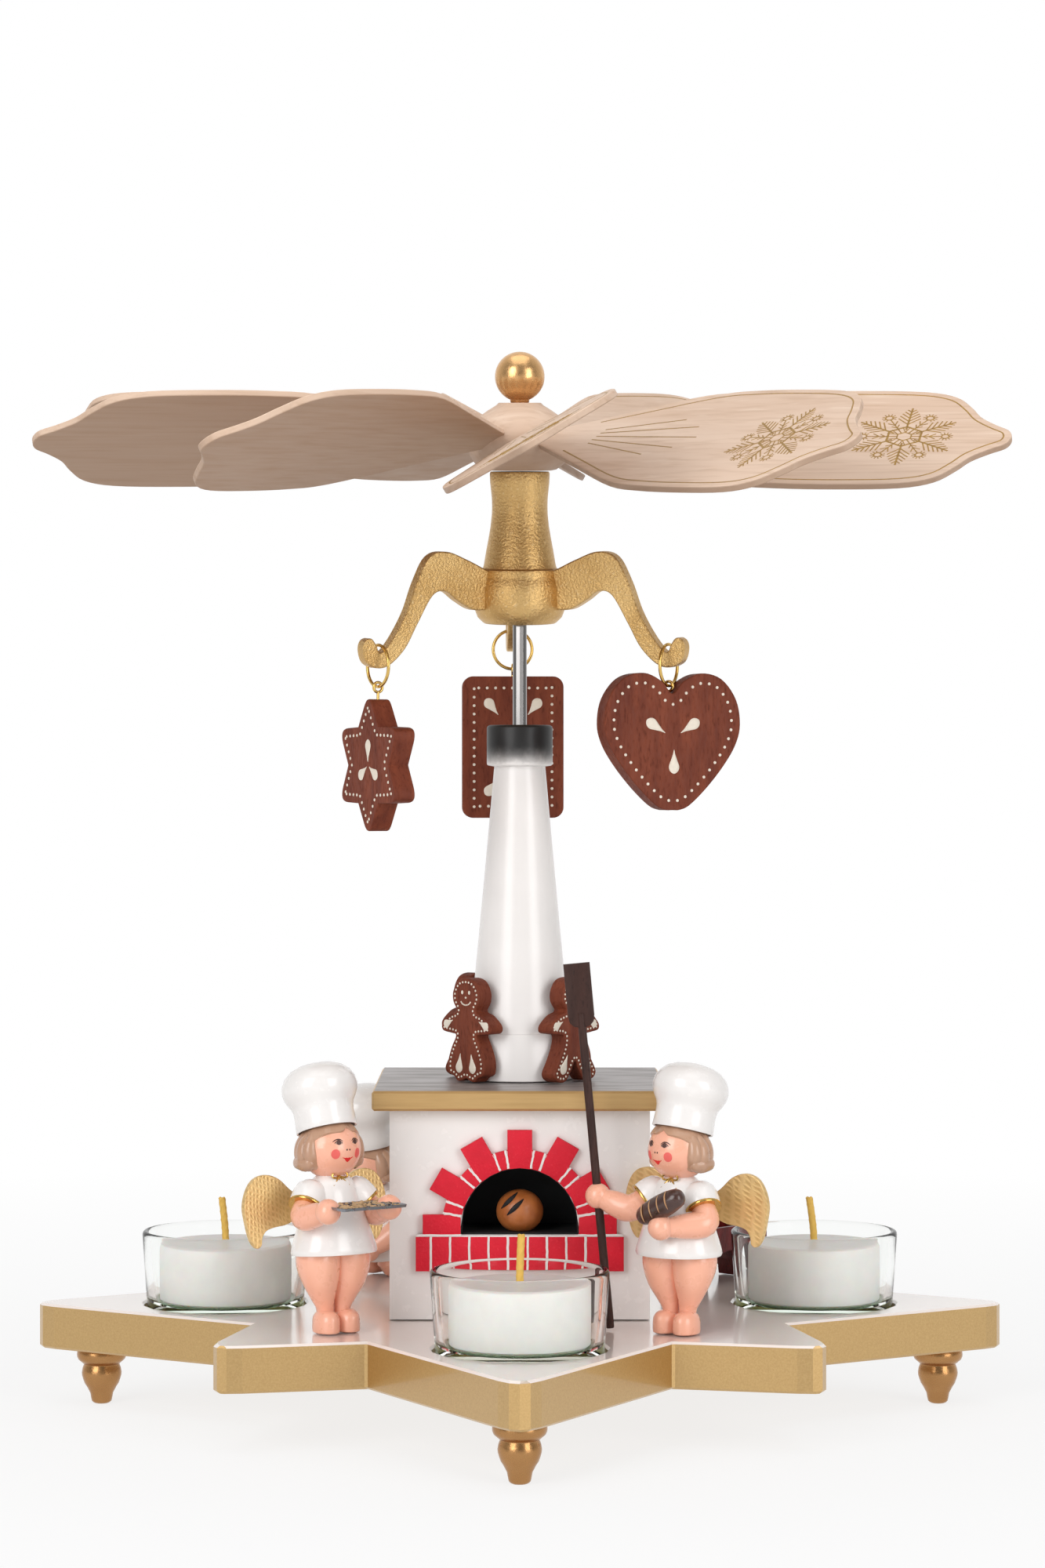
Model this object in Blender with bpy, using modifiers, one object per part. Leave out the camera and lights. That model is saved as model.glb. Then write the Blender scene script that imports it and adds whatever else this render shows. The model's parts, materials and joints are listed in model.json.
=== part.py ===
"""Candle carousel: a table pyramid whose winged wheel turns in the warm air of four tealights.

Metres, +Z up. The origin is on the floor, under the spindle. The front of the oven looks along -Y.
"""

import math

import bmesh
import bpy
from mathutils import Matrix, Vector

# Clearances and facets
GAP = 0.0003                 # between pieces that touch or seat
OVERRUN = 0.002              # how far a cutter runs past what it cuts
TURN_STEPS = 20              # facets round a turned piece
SMALL_STEPS = 12             # facets round a wire or a small ball
ARC_STEPS = 4                # facets in a rounded corner

# Base board and feet
FOOT_HEIGHT = 0.0152
FOOT_CAP_RADIUS = 0.0067
FOOT_TIP_RADIUS = 0.0028
FOOT_CIRCLE = 0.113
BOARD_THICKNESS = 0.012
BIG_TIP_REACH = 0.134
SMALL_TIP_REACH = 0.0785
VALLEY_FAR = 0.0695
VALLEY_NEAR = 0.0385
TIP_ROUNDING = 0.006
BOARD_EDGE_ROUNDING = 0.0006

# Tealights
CANDLE_COUNT = 4
CANDLE_CIRCLE = 0.0795
GLASS_RIM_RADIUS = 0.0224
GLASS_FOOT_RADIUS = 0.0211
GLASS_WALL = 0.0018
GLASS_FLOOR = 0.0024
GLASS_HEIGHT = 0.0218
RECESS_DEPTH = 0.0025
RECESS_CLEARANCE = 0.0009
WAX_HEIGHT = 0.0158
WAX_CLEARANCE = 0.0006
WICK_RADIUS = 0.0009
WICK_LENGTH = 0.0125

# Oven
OVEN_HALF = 0.034
OVEN_HEIGHT = 0.0545
TOP_OVERHANG = 0.0045
TOP_HALF = OVEN_HALF + TOP_OVERHANG
TOP_THICKNESS = 0.0052
ARCH_RADIUS = 0.0154
ARCH_CENTRE_HEIGHT = 0.0243   # above the board
SILL_TOP_HEIGHT = 0.0222      # above the board
SILL_DROP = 0.0094
SILL_HALF_WIDTH = 0.0273
LONG_BRICK_REACH = 0.0253
SHORT_BRICK_REACH = 0.0203
LONG_BRICK_WIDTH = 0.0065
LONG_BRICK_COUNT = 7
BRICK_THICKNESS = 0.0016
NICHE_DEPTH = 0.021
BUN_RADIUS = 0.0062
BUN_HEIGHT_SHARE = 0.92
BUN_FLAT_SHARE = 0.9

# Chimney
CHIMNEY_BASE_RADIUS = 0.0145
CHIMNEY_STEP_HEIGHT = 0.0127
CHIMNEY_NECK_RADIUS = 0.0069
CHIMNEY_HEIGHT = 0.0843
MOUTH_RADIUS = 0.0089
MOUTH_HEIGHT = 0.011
MOUTH_ROUNDING = 0.0008
SPINDLE_RADIUS = 0.0019
BORE_CLEARANCE = 0.0011
BEARING_RADIUS = 0.0032
BEARING_HEIGHT = 0.005
BEARING_DIMPLE = 0.0024
SPINDLE_POINT = 0.0045

# Spinner: vase, arms, wing hub, wings and ball
SPINNER_ANGLE = math.radians(2.6)
SPINNER_LEAN = math.radians(5.5)      # how far the wheel tips forward on the spindle's point
VASE_BOTTOM = 0.2106
VASE_BOWL_RADIUS = 0.0123
VASE_BOWL_HEIGHT = 0.0148
VASE_FOOT_RADIUS = 0.0104
VASE_WAIST_RADIUS = 0.0071
VASE_TOP_RADIUS = 0.0081
VASE_NECK_HEIGHT = 0.0262
VASE_BORE_RADIUS = 0.0058
VASE_BORE_TOP_RADIUS = 0.0029
PIVOT_DEPTH = 0.0085          # of the spindle's point below the vase's top
HUB_RADIUS = 0.0142
HUB_HEIGHT = 0.0182
HUB_TOP_RADIUS = 0.0055
BALL_RADIUS = 0.0067
WING_COUNT = 10
WING_ANGLE = math.radians(1.5)
WING_PITCH = math.radians(30)
WING_THICKNESS = 0.0018
WING_ROOT = 0.0102
WING_REACH = 0.1331
WING_HALF_WIDTH = 0.0242
WING_HEIGHT_SHARE = 0.47      # of the hub's height
SLOT_CLEARANCE = 0.0003
ARM_COUNT = 3
ARM_THICKNESS = 0.0035
ARM_ROOT = 0.0075
ARM_REACH = 0.0425            # from the root to the hook's outer side
ARM_RISE = 0.0304             # from the hook's lowest point to the arm's crest
ARM_LOWEST = -0.0105          # the hook's lowest point, from the vase's bottom

# Pendants
RING_RADIUS = 0.0055
WIRE_RADIUS = 0.00045
EYE_RADIUS = 0.0013
EYE_WIRE_RADIUS = 0.0004
EYE_SHANK = 0.0042
BISCUIT_THICKNESS = 0.006
HEART_HALF_WIDTH = 0.0195
STAR_RADIUS = 0.0195
PLAQUE_HALF_WIDTH = 0.0143
PLAQUE_HALF_HEIGHT = 0.020
BISCUIT_ROUNDING = 0.003

# Gingerbread figures on the oven
GINGER_HEIGHT = 0.0276
GINGER_THICKNESS = 0.0046

# Baker angels, with the loaf and the tray that they hold
BAKER_HEIGHT = 0.0695
FEATHER_GAP = 0.0006
TRAY_BAKER_ASIDE = 0.0090      # beyond the oven's top board
TRAY_BAKER_AHEAD = 0.0155
PEEL_BAKER_ASIDE = 0.0021
PEEL_BAKER_AHEAD = 0.0175
BACK_BAKER_INSIDE = 0.0015
BACK_BAKER_BEHIND = 0.0165
PEEL_FOOT_INSIDE = 0.0153
PEEL_FOOT_AHEAD = 0.0120
TRAY_HALF_LENGTH = 0.0098
TRAY_HALF_WIDTH = 0.0062
TRAY_THICKNESS = 0.0009
PEEL_LENGTH = 0.094
PEEL_ROD_RADIUS = 0.0011
PEEL_BLADE_HALF_WIDTH = 0.0034
PEEL_BLADE_LENGTH = 0.0165
PEEL_BLADE_THICKNESS = 0.0012
LOAF_RADIUS = 0.003
LOAF_LENGTH = 0.0145
WING_PLATE_THICKNESS = 0.0015
WING_PLATE_HEIGHT = 0.0185

# Kneading trough behind the oven
TROUGH_HALF_LENGTH = 0.0135
TROUGH_HALF_WIDTH = 0.0075
TROUGH_HEIGHT = 0.0155
TROUGH_WALL = 0.0014
TROUGH_DEPTH = 0.005
TROUGH_ASIDE = 0.016
TROUGH_BEHIND = 0.004

# Heights that follow
BOARD_TOP = FOOT_HEIGHT + BOARD_THICKNESS
TOP_BOTTOM = BOARD_TOP + GAP + OVEN_HEIGHT + GAP
TOP_SURFACE = TOP_BOTTOM + TOP_THICKNESS
CHIMNEY_BOTTOM = TOP_SURFACE + GAP
CHIMNEY_TOP = CHIMNEY_BOTTOM + CHIMNEY_HEIGHT + MOUTH_HEIGHT
VASE_TOP = VASE_BOTTOM + VASE_BOWL_HEIGHT + VASE_NECK_HEIGHT
HUB_BOTTOM = VASE_TOP + GAP
HUB_TOP = HUB_BOTTOM + HUB_HEIGHT
WING_LEVEL = HUB_BOTTOM + HUB_HEIGHT * WING_HEIGHT_SHARE
PIVOT_LEVEL = VASE_TOP - PIVOT_DEPTH

# Colours, roughness and metallic value of each finish
FINISHES = {
    "gold_paint": ((0.52, 0.35, 0.12), 0.42, 0.75),
    "ivory_lacquer": ((0.86, 0.80, 0.76), 0.3, 0.0),
    "white_lacquer": ((0.9, 0.87, 0.84), 0.25, 0.0),
    "bare_maple": ((0.78, 0.60, 0.47), 0.65, 0.0),
    "brown_stain": ((0.15, 0.035, 0.02), 0.6, 0.0),
    "dark_wood": ((0.045, 0.02, 0.014), 0.5, 0.0),
    "dark_red_wood": ((0.12, 0.01, 0.008), 0.4, 0.0),
    "brick_red": ((0.75, 0.012, 0.03), 0.7, 0.0),
    "skin_paint": ((0.9, 0.48, 0.34), 0.35, 0.0),
    "steel": ((0.6, 0.58, 0.56), 0.25, 1.0),
    "brass": ((0.75, 0.5, 0.16), 0.25, 1.0),
    "glass": ((0.9, 0.94, 0.92), 0.02, 0.0),
    "wax": ((0.92, 0.91, 0.88), 0.45, 0.0),
    "baked_bread": ((0.42, 0.14, 0.04), 0.55, 0.0),
    "tin": ((0.3, 0.31, 0.33), 0.35, 0.9),
}


def clear_scene():
    for item in list(bpy.data.objects):
        bpy.data.objects.remove(item, do_unlink=True)


def new_collection(name):
    made = bpy.data.collections.new(name)
    bpy.context.scene.collection.children.link(made)
    return made


def finish(name):
    """The material of that name, made on first use."""
    if name in bpy.data.materials:
        return bpy.data.materials[name]
    colour, roughness, metallic = FINISHES[name]
    made = bpy.data.materials.new(name)
    made.use_nodes = True
    shader = made.node_tree.nodes["Principled BSDF"]
    shader.inputs["Base Color"].default_value = (*colour, 1)
    shader.inputs["Roughness"].default_value = roughness
    shader.inputs["Metallic"].default_value = metallic
    return made


def mesh_object(name, mesh, material=None, collection=None):
    made = bpy.data.objects.new(name, mesh)
    (collection or PARTS).objects.link(made)
    if material:
        mesh.materials.clear()
        mesh.materials.append(finish(material))
    return made


def settled(thing):
    """The object's evaluated shape as a plain mesh at the world's origin."""
    bpy.context.view_layer.update()
    graph = bpy.context.evaluated_depsgraph_get()
    mesh = bpy.data.meshes.new_from_object(thing.evaluated_get(graph))
    mesh.transform(thing.matrix_world)
    bpy.data.objects.remove(thing, do_unlink=True)
    work = bmesh.new()
    work.from_mesh(mesh)
    bmesh.ops.remove_doubles(work, verts=work.verts, dist=1e-6)
    bmesh.ops.recalc_face_normals(work, faces=work.faces)
    work.to_mesh(mesh)
    work.free()
    return mesh


def turned_mesh(profile, steps=TURN_STEPS):
    """A solid of revolution about Z. The profile runs from top to bottom, as (radius, height)."""
    mesh = bpy.data.meshes.new("profile")
    mesh.from_pydata([(r, 0, z) for r, z in profile], [(i, i + 1) for i in range(len(profile) - 1)], [])
    thing = mesh_object("profile", mesh, collection=CUTTERS)
    screw = thing.modifiers.new("Screw", "SCREW")
    screw.steps = screw.render_steps = steps
    screw.use_merge_vertices = True
    screw.merge_threshold = 1e-6
    return settled(thing)


def outline_mesh(points, thickness):
    """A flat plate in XY, half its thickness above and below Z = 0."""
    curve = bpy.data.curves.new("outline", "CURVE")
    curve.dimensions = "2D"
    curve.fill_mode = "BOTH"
    curve.extrude = thickness / 2
    spline = curve.splines.new("POLY")
    spline.points.add(len(points) - 1)
    for corner, (x, y) in zip(spline.points, points):
        corner.co = (x, y, 0, 1)
    spline.use_cyclic_u = True
    thing = bpy.data.objects.new("outline", curve)
    CUTTERS.objects.link(thing)
    return settled(thing)


def rod_mesh(points, radius, steps=SMALL_STEPS, closed=False):
    """A round bar along the points."""
    curve = bpy.data.curves.new("rod", "CURVE")
    curve.dimensions = "3D"
    curve.bevel_depth = radius
    curve.bevel_resolution = steps // 4 - 1
    curve.use_fill_caps = not closed
    spline = curve.splines.new("POLY")
    spline.points.add(len(points) - 1)
    for corner, place in zip(spline.points, points):
        corner.co = (*place, 1)
    spline.use_cyclic_u = closed
    thing = bpy.data.objects.new("rod", curve)
    CUTTERS.objects.link(thing)
    return settled(thing)


def box_mesh(low, high):
    mesh = bpy.data.meshes.new("box")
    work = bmesh.new()
    bmesh.ops.create_cube(work, size=1)
    work.to_mesh(mesh)
    work.free()
    size = Vector(high) - Vector(low)
    middle = (Vector(high) + Vector(low)) / 2
    mesh.transform(Matrix.Translation(middle) @ Matrix.Diagonal((*size, 1)))
    return mesh


def ball_mesh(radius, steps=SMALL_STEPS, stretch=(1, 1, 1)):
    mesh = bpy.data.meshes.new("ball")
    work = bmesh.new()
    bmesh.ops.create_uvsphere(work, u_segments=steps, v_segments=steps * 2 // 3, radius=radius)
    work.to_mesh(mesh)
    work.free()
    mesh.transform(Matrix.Diagonal((*stretch, 1)))
    return mesh


def placed(mesh, matrix):
    """A copy of the mesh, moved."""
    copy = mesh.copy()
    copy.transform(matrix)
    return copy


def shift(x=0.0, y=0.0, z=0.0):
    return Matrix.Translation((x, y, z))


def turn(angle, axis="Z"):
    return Matrix.Rotation(angle, 4, axis)


def combined(base, others, operation):
    """The base mesh joined with, or cut by, each of the others in turn."""
    thing = mesh_object("base", base, collection=CUTTERS)
    for other in others:
        cutter = mesh_object("cutter", other, collection=CUTTERS)
        cutter.hide_render = True
        cutter.display_type = "WIRE"
        boolean = thing.modifiers.new("Boolean", "BOOLEAN")
        boolean.operation = operation
        boolean.solver = "EXACT"
        boolean.object = cutter
        mesh = settled(thing)
        bpy.data.objects.remove(cutter, do_unlink=True)
        thing = mesh_object("base", mesh, collection=CUTTERS)
    return settled(thing)


def joined(base, others):
    return combined(base, others, "UNION")


def cut(base, others):
    return combined(base, others, "DIFFERENCE")


def softened(mesh, width, segments=1, angle=math.radians(40)):
    """The mesh with its sharper edges bevelled."""
    thing = mesh_object("soft", mesh, collection=CUTTERS)
    bevel = thing.modifiers.new("Bevel", "BEVEL")
    bevel.width = width
    bevel.segments = segments
    bevel.limit_method = "ANGLE"
    bevel.angle_limit = angle
    return settled(thing)


def part(name, mesh, material, smooth=True, origin=(0, 0, 0)):
    """A named sub-part, its origin where it turns, slides or seats."""
    mesh.name = name
    mesh.transform(shift(*[-value for value in origin]))
    thing = mesh_object(name, mesh, material)
    thing.location = origin
    if smooth:
        mesh.shade_smooth()
        mesh.set_sharp_from_angle(angle=math.radians(35))
    return thing


def rounded(points, radii, steps=ARC_STEPS):
    """The closed outline with each corner made an arc of its own radius, or left sharp at zero."""
    result = []
    count = len(points)
    for index, (point, radius) in enumerate(zip(points, radii)):
        corner = Vector(point)
        if not radius:
            result.append(tuple(corner))
            continue
        before = Vector(points[index - 1]) - corner
        after = Vector(points[(index + 1) % count]) - corner
        half = before.angle(after) / 2
        reach = min(radius / math.tan(half), before.length / 2, after.length / 2)
        start = corner + before.normalized() * reach
        end = corner + after.normalized() * reach
        for step in range(steps + 1):
            share = step / steps
            near = start.lerp(corner, share)
            far = corner.lerp(end, share)
            result.append(tuple(near.lerp(far, share)))
    return result


def flowing(points, steps=3):
    """A smooth closed outline through the points."""
    result = []
    count = len(points)
    for index in range(count):
        a, b, c, d = (Vector(points[(index + offset) % count]) for offset in (-1, 0, 1, 2))
        for step in range(steps):
            t = step / steps
            result.append(tuple(0.5 * (2 * b + (c - a) * t + (2 * a - 5 * b + 4 * c - d) * t * t
                                       + (3 * b - a - 3 * c + d) * t ** 3)))
    return result


def scaled(shares, width, height):
    return [(x * width, y * height) for x, y in shares]


def mirrored(points):
    """The half outline, from its top to its bottom at +X, closed with its mirror image."""
    return list(points) + [(-x, y) for x, y in reversed(points) if abs(x) > GAP / 10]


def round_the_centre(count, start=0.0):
    """Angles spread evenly round the spindle; the first looks to the front."""
    return [start - math.pi / 2 + index * math.tau / count for index in range(count)]


def base_board():
    quarter = [(BIG_TIP_REACH, 0), (VALLEY_FAR, VALLEY_NEAR),
               (SMALL_TIP_REACH, SMALL_TIP_REACH), (VALLEY_NEAR, VALLEY_FAR)]
    radii = [TIP_ROUNDING, 0, TIP_ROUNDING, 0]
    corners = []
    for angle in round_the_centre(CANDLE_COUNT):
        corners += [tuple((turn(angle) @ Vector((*corner, 0)))[:2]) for corner in quarter]
    board = outline_mesh(rounded(corners, radii * CANDLE_COUNT), BOARD_THICKNESS)
    board = placed(board, shift(z=FOOT_HEIGHT + BOARD_THICKNESS / 2))
    recess_radius = GLASS_FOOT_RADIUS + RECESS_CLEARANCE
    recess = turned_mesh([(0, BOARD_TOP + OVERRUN), (recess_radius, BOARD_TOP + OVERRUN),
                          (recess_radius, BOARD_TOP - RECESS_DEPTH), (0, BOARD_TOP - RECESS_DEPTH)])
    cutters = [placed(recess, turn(angle) @ shift(CANDLE_CIRCLE))
               for angle in round_the_centre(CANDLE_COUNT)]
    board = softened(cut(board, cutters), BOARD_EDGE_ROUNDING, angle=math.radians(60))
    part("base_board", board, "ivory_lacquer", smooth=False)


# From the top of a foot down: share of the cap's radius, share of the height
FOOT_SHARES = [(0, 1), (0.93, 1), (1, 0.93), (0.98, 0.86), (0.74, 0.78), (0.8, 0.66),
               (0.79, 0.54), (0.66, 0.38), (0.5, 0.18)]


def feet():
    height = FOOT_HEIGHT - GAP
    profile = [(r * FOOT_CAP_RADIUS, z * height) for r, z in FOOT_SHARES]
    profile += [(FOOT_TIP_RADIUS, 0), (0, 0)]
    mesh = turned_mesh(profile, SMALL_STEPS)
    for number, angle in enumerate(round_the_centre(CANDLE_COUNT)):
        part(f"foot_{SIDES[number]}", placed(mesh, turn(angle) @ shift(FOOT_CIRCLE)), "gold_paint")


def tealights():
    """Each glass stands in its recess, and a bare candle stands in the glass."""
    seat = BOARD_TOP - RECESS_DEPTH + GAP
    rim = GLASS_HEIGHT
    inner_rim = GLASS_RIM_RADIUS - GLASS_WALL
    inner_foot = GLASS_FOOT_RADIUS - GLASS_WALL
    half_wall = GLASS_WALL / 2
    glass = turned_mesh([
        (0, GLASS_FLOOR), (inner_foot - half_wall, GLASS_FLOOR), (inner_foot, GLASS_FLOOR + half_wall),
        (inner_rim, rim - half_wall / 2), (inner_rim + half_wall / 2, rim),
        (GLASS_RIM_RADIUS - half_wall / 2, rim), (GLASS_RIM_RADIUS, rim - half_wall / 2),
        (GLASS_FOOT_RADIUS, half_wall), (GLASS_FOOT_RADIUS - half_wall, 0), (0, 0)][::-1])
    wax_radius = inner_foot - half_wall - WAX_CLEARANCE
    wax_seat = GLASS_FLOOR + GAP
    wax_top = wax_seat + WAX_HEIGHT
    edge = WAX_CLEARANCE
    candle = turned_mesh([
        (0, wax_top + WICK_LENGTH), (WICK_RADIUS, wax_top + WICK_LENGTH), (WICK_RADIUS, wax_top),
        (wax_radius - edge, wax_top), (wax_radius, wax_top - edge), (wax_radius, wax_seat), (0, wax_seat)], 16)
    for number, angle in enumerate(round_the_centre(CANDLE_COUNT)):
        place = turn(angle) @ shift(CANDLE_CIRCLE, z=seat)
        origin = place.translation
        part(f"glass_{SIDES[number]}", placed(glass, place), "glass", origin=origin)
        part(f"candle_{SIDES[number]}", placed(candle, place), "wax", origin=origin)


SIDES = ["front", "right", "back", "left"]


def arch_outline(radius, foot_level, steps=10):
    """The arch over its centre, open below down to foot_level."""
    arc = [(radius * math.cos(math.pi * step / steps), radius * math.sin(math.pi * step / steps))
           for step in range(steps + 1)]
    return [(radius, foot_level)] + arc + [(-radius, foot_level)]


def oven():
    centre = BOARD_TOP + GAP + ARCH_CENTRE_HEIGHT
    sill_top = BOARD_TOP + GAP + SILL_TOP_HEIGHT
    bottom = BOARD_TOP + GAP
    body = box_mesh((-OVEN_HALF, -OVEN_HALF, bottom), (OVEN_HALF, OVEN_HALF, bottom + OVEN_HEIGHT))
    niche = outline_mesh(arch_outline(ARCH_RADIUS, sill_top - centre), NICHE_DEPTH * 2)
    upright = turn(math.pi / 2, "X")
    niche = placed(niche, shift(y=-OVEN_HALF, z=centre) @ upright)
    part("oven_body", cut(body, [niche]), "white_lacquer", smooth=False)

    top = box_mesh((-TOP_HALF, -TOP_HALF, TOP_BOTTOM), (TOP_HALF, TOP_HALF, TOP_SURFACE))
    bore_radius = SPINDLE_RADIUS + GAP
    bore = turned_mesh([(0, TOP_SURFACE + OVERRUN), (bore_radius, TOP_SURFACE + OVERRUN),
                        (bore_radius, TOP_BOTTOM - OVERRUN), (0, TOP_BOTTOM - OVERRUN)], SMALL_STEPS)
    top = softened(top, BOARD_EDGE_ROUNDING)
    part("oven_top_board", cut(top, [bore]), "gold_paint", smooth=False)

    front = -OVEN_HALF - GAP - BRICK_THICKNESS / 2
    sill = box_mesh((-SILL_HALF_WIDTH, -BRICK_THICKNESS / 2, sill_top - SILL_DROP),
                    (SILL_HALF_WIDTH, BRICK_THICKNESS / 2, sill_top))
    sill = placed(sill, shift(y=front))
    ring = placed(outline_mesh(arch_outline(SHORT_BRICK_REACH, sill_top - centre - GAP), BRICK_THICKNESS),
                  shift(y=front, z=centre) @ upright)
    bricks = []
    for index in range(LONG_BRICK_COUNT):
        angle = math.pi * index / (LONG_BRICK_COUNT - 1)
        half = LONG_BRICK_WIDTH / 2
        low = sill_top - centre - GAP if index in (0, LONG_BRICK_COUNT - 1) else -half
        corners = [(ARCH_RADIUS, low), (LONG_BRICK_REACH, low), (LONG_BRICK_REACH, half),
                   (ARCH_RADIUS, half)]
        if index == LONG_BRICK_COUNT - 1:
            corners = [(-x, y) for x, y in reversed(corners)]
            angle = 0
        brick = outline_mesh(corners, BRICK_THICKNESS)
        bricks.append(placed(brick, shift(y=front, z=centre) @ upright @ turn(angle)))
    opening = placed(outline_mesh(arch_outline(ARCH_RADIUS, sill_top - centre), BRICK_THICKNESS * 3),
                     shift(y=front, z=centre) @ upright)
    arch = cut(joined(sill, [ring] + bricks), [opening])
    part("brick_arch", arch, "brick_red", smooth=False)

    bun = ball_mesh(BUN_RADIUS, SMALL_STEPS, (1, 1, BUN_HEIGHT_SHARE))
    bun_height = BUN_RADIUS * BUN_HEIGHT_SHARE * BUN_FLAT_SHARE
    table = box_mesh((-BUN_RADIUS * 2, -BUN_RADIUS * 2, -BUN_RADIUS * 2),
                     (BUN_RADIUS * 2, BUN_RADIUS * 2, -bun_height))
    bun_place = shift(y=-OVEN_HALF + BUN_RADIUS, z=sill_top + GAP + bun_height)
    part("bread_bun", placed(cut(bun, [table]), bun_place), "baked_bread")


def chimney():
    bore = SPINDLE_RADIUS + BORE_CLEARANCE
    neck = CHIMNEY_BOTTOM + CHIMNEY_HEIGHT
    edge = MOUTH_ROUNDING
    part("chimney", turned_mesh([
        (bore, CHIMNEY_TOP), (MOUTH_RADIUS - edge, CHIMNEY_TOP), (MOUTH_RADIUS, CHIMNEY_TOP - edge),
        (MOUTH_RADIUS, neck + edge), (MOUTH_RADIUS - edge, neck), (CHIMNEY_NECK_RADIUS, neck),
        (CHIMNEY_BASE_RADIUS - edge / 2, CHIMNEY_BOTTOM + CHIMNEY_STEP_HEIGHT),
        (CHIMNEY_BASE_RADIUS, CHIMNEY_BOTTOM + CHIMNEY_STEP_HEIGHT - edge / 2),
        (CHIMNEY_BASE_RADIUS, CHIMNEY_BOTTOM), (bore, CHIMNEY_BOTTOM), (bore, CHIMNEY_TOP)]),
        "white_lacquer")
    part("spindle", turned_mesh([
        (0, PIVOT_LEVEL), (SPINDLE_RADIUS, PIVOT_LEVEL - SPINDLE_POINT), (SPINDLE_RADIUS, TOP_BOTTOM),
        (0, TOP_BOTTOM)], SMALL_STEPS), "steel")


# From the vase's top down: share of a named radius, share of a named height
NECK_LIP_SHARE = 0.88
WAIST_SHARES = [(1, 0.6), (1.08, 0.38), (1.27, 0.18)]
NECK_FOOT_SHARES = [(1, 0.04), (0.95, 0)]
BOWL_SHARES = [(0.9, 1), (0.93, 0.86), (1, 0.6), (1, 0.34), (0.93, 0.12), (0.8, 0)]
HUB_SHARES = [(0.82, 0.78), (0.86, 0.68), (0.92, 0.6), (1, 0.4), (0.95, 0.22), (0.66, 0)]


def wing_outline():
    """Half of a wing from its root to its nose, as shares of its length and half width."""
    return flowing([(x * (WING_REACH - WING_ROOT), y * WING_HALF_WIDTH) for x, y in WING_SHARES]
                   + [(x * (WING_REACH - WING_ROOT), -y * WING_HALF_WIDTH) for x, y in WING_SHARES[::-1]], 2)


WING_SHARES = [(0, 0.1), (0.01, 0.15), (0.05, 0.22), (0.24, 0.58), (0.42, 0.91), (0.53, 0.985),
               (0.66, 1), (0.79, 0.97), (0.86, 0.85), (0.9, 0.62), (0.925, 0.42), (0.96, 0.26),
               (0.99, 0.15), (1, 0.05)]


def spinner_place():
    """The forward tip of the whole wheel about the spindle's point."""
    return shift(z=PIVOT_LEVEL) @ turn(SPINNER_LEAN, "X") @ shift(z=-PIVOT_LEVEL)


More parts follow.
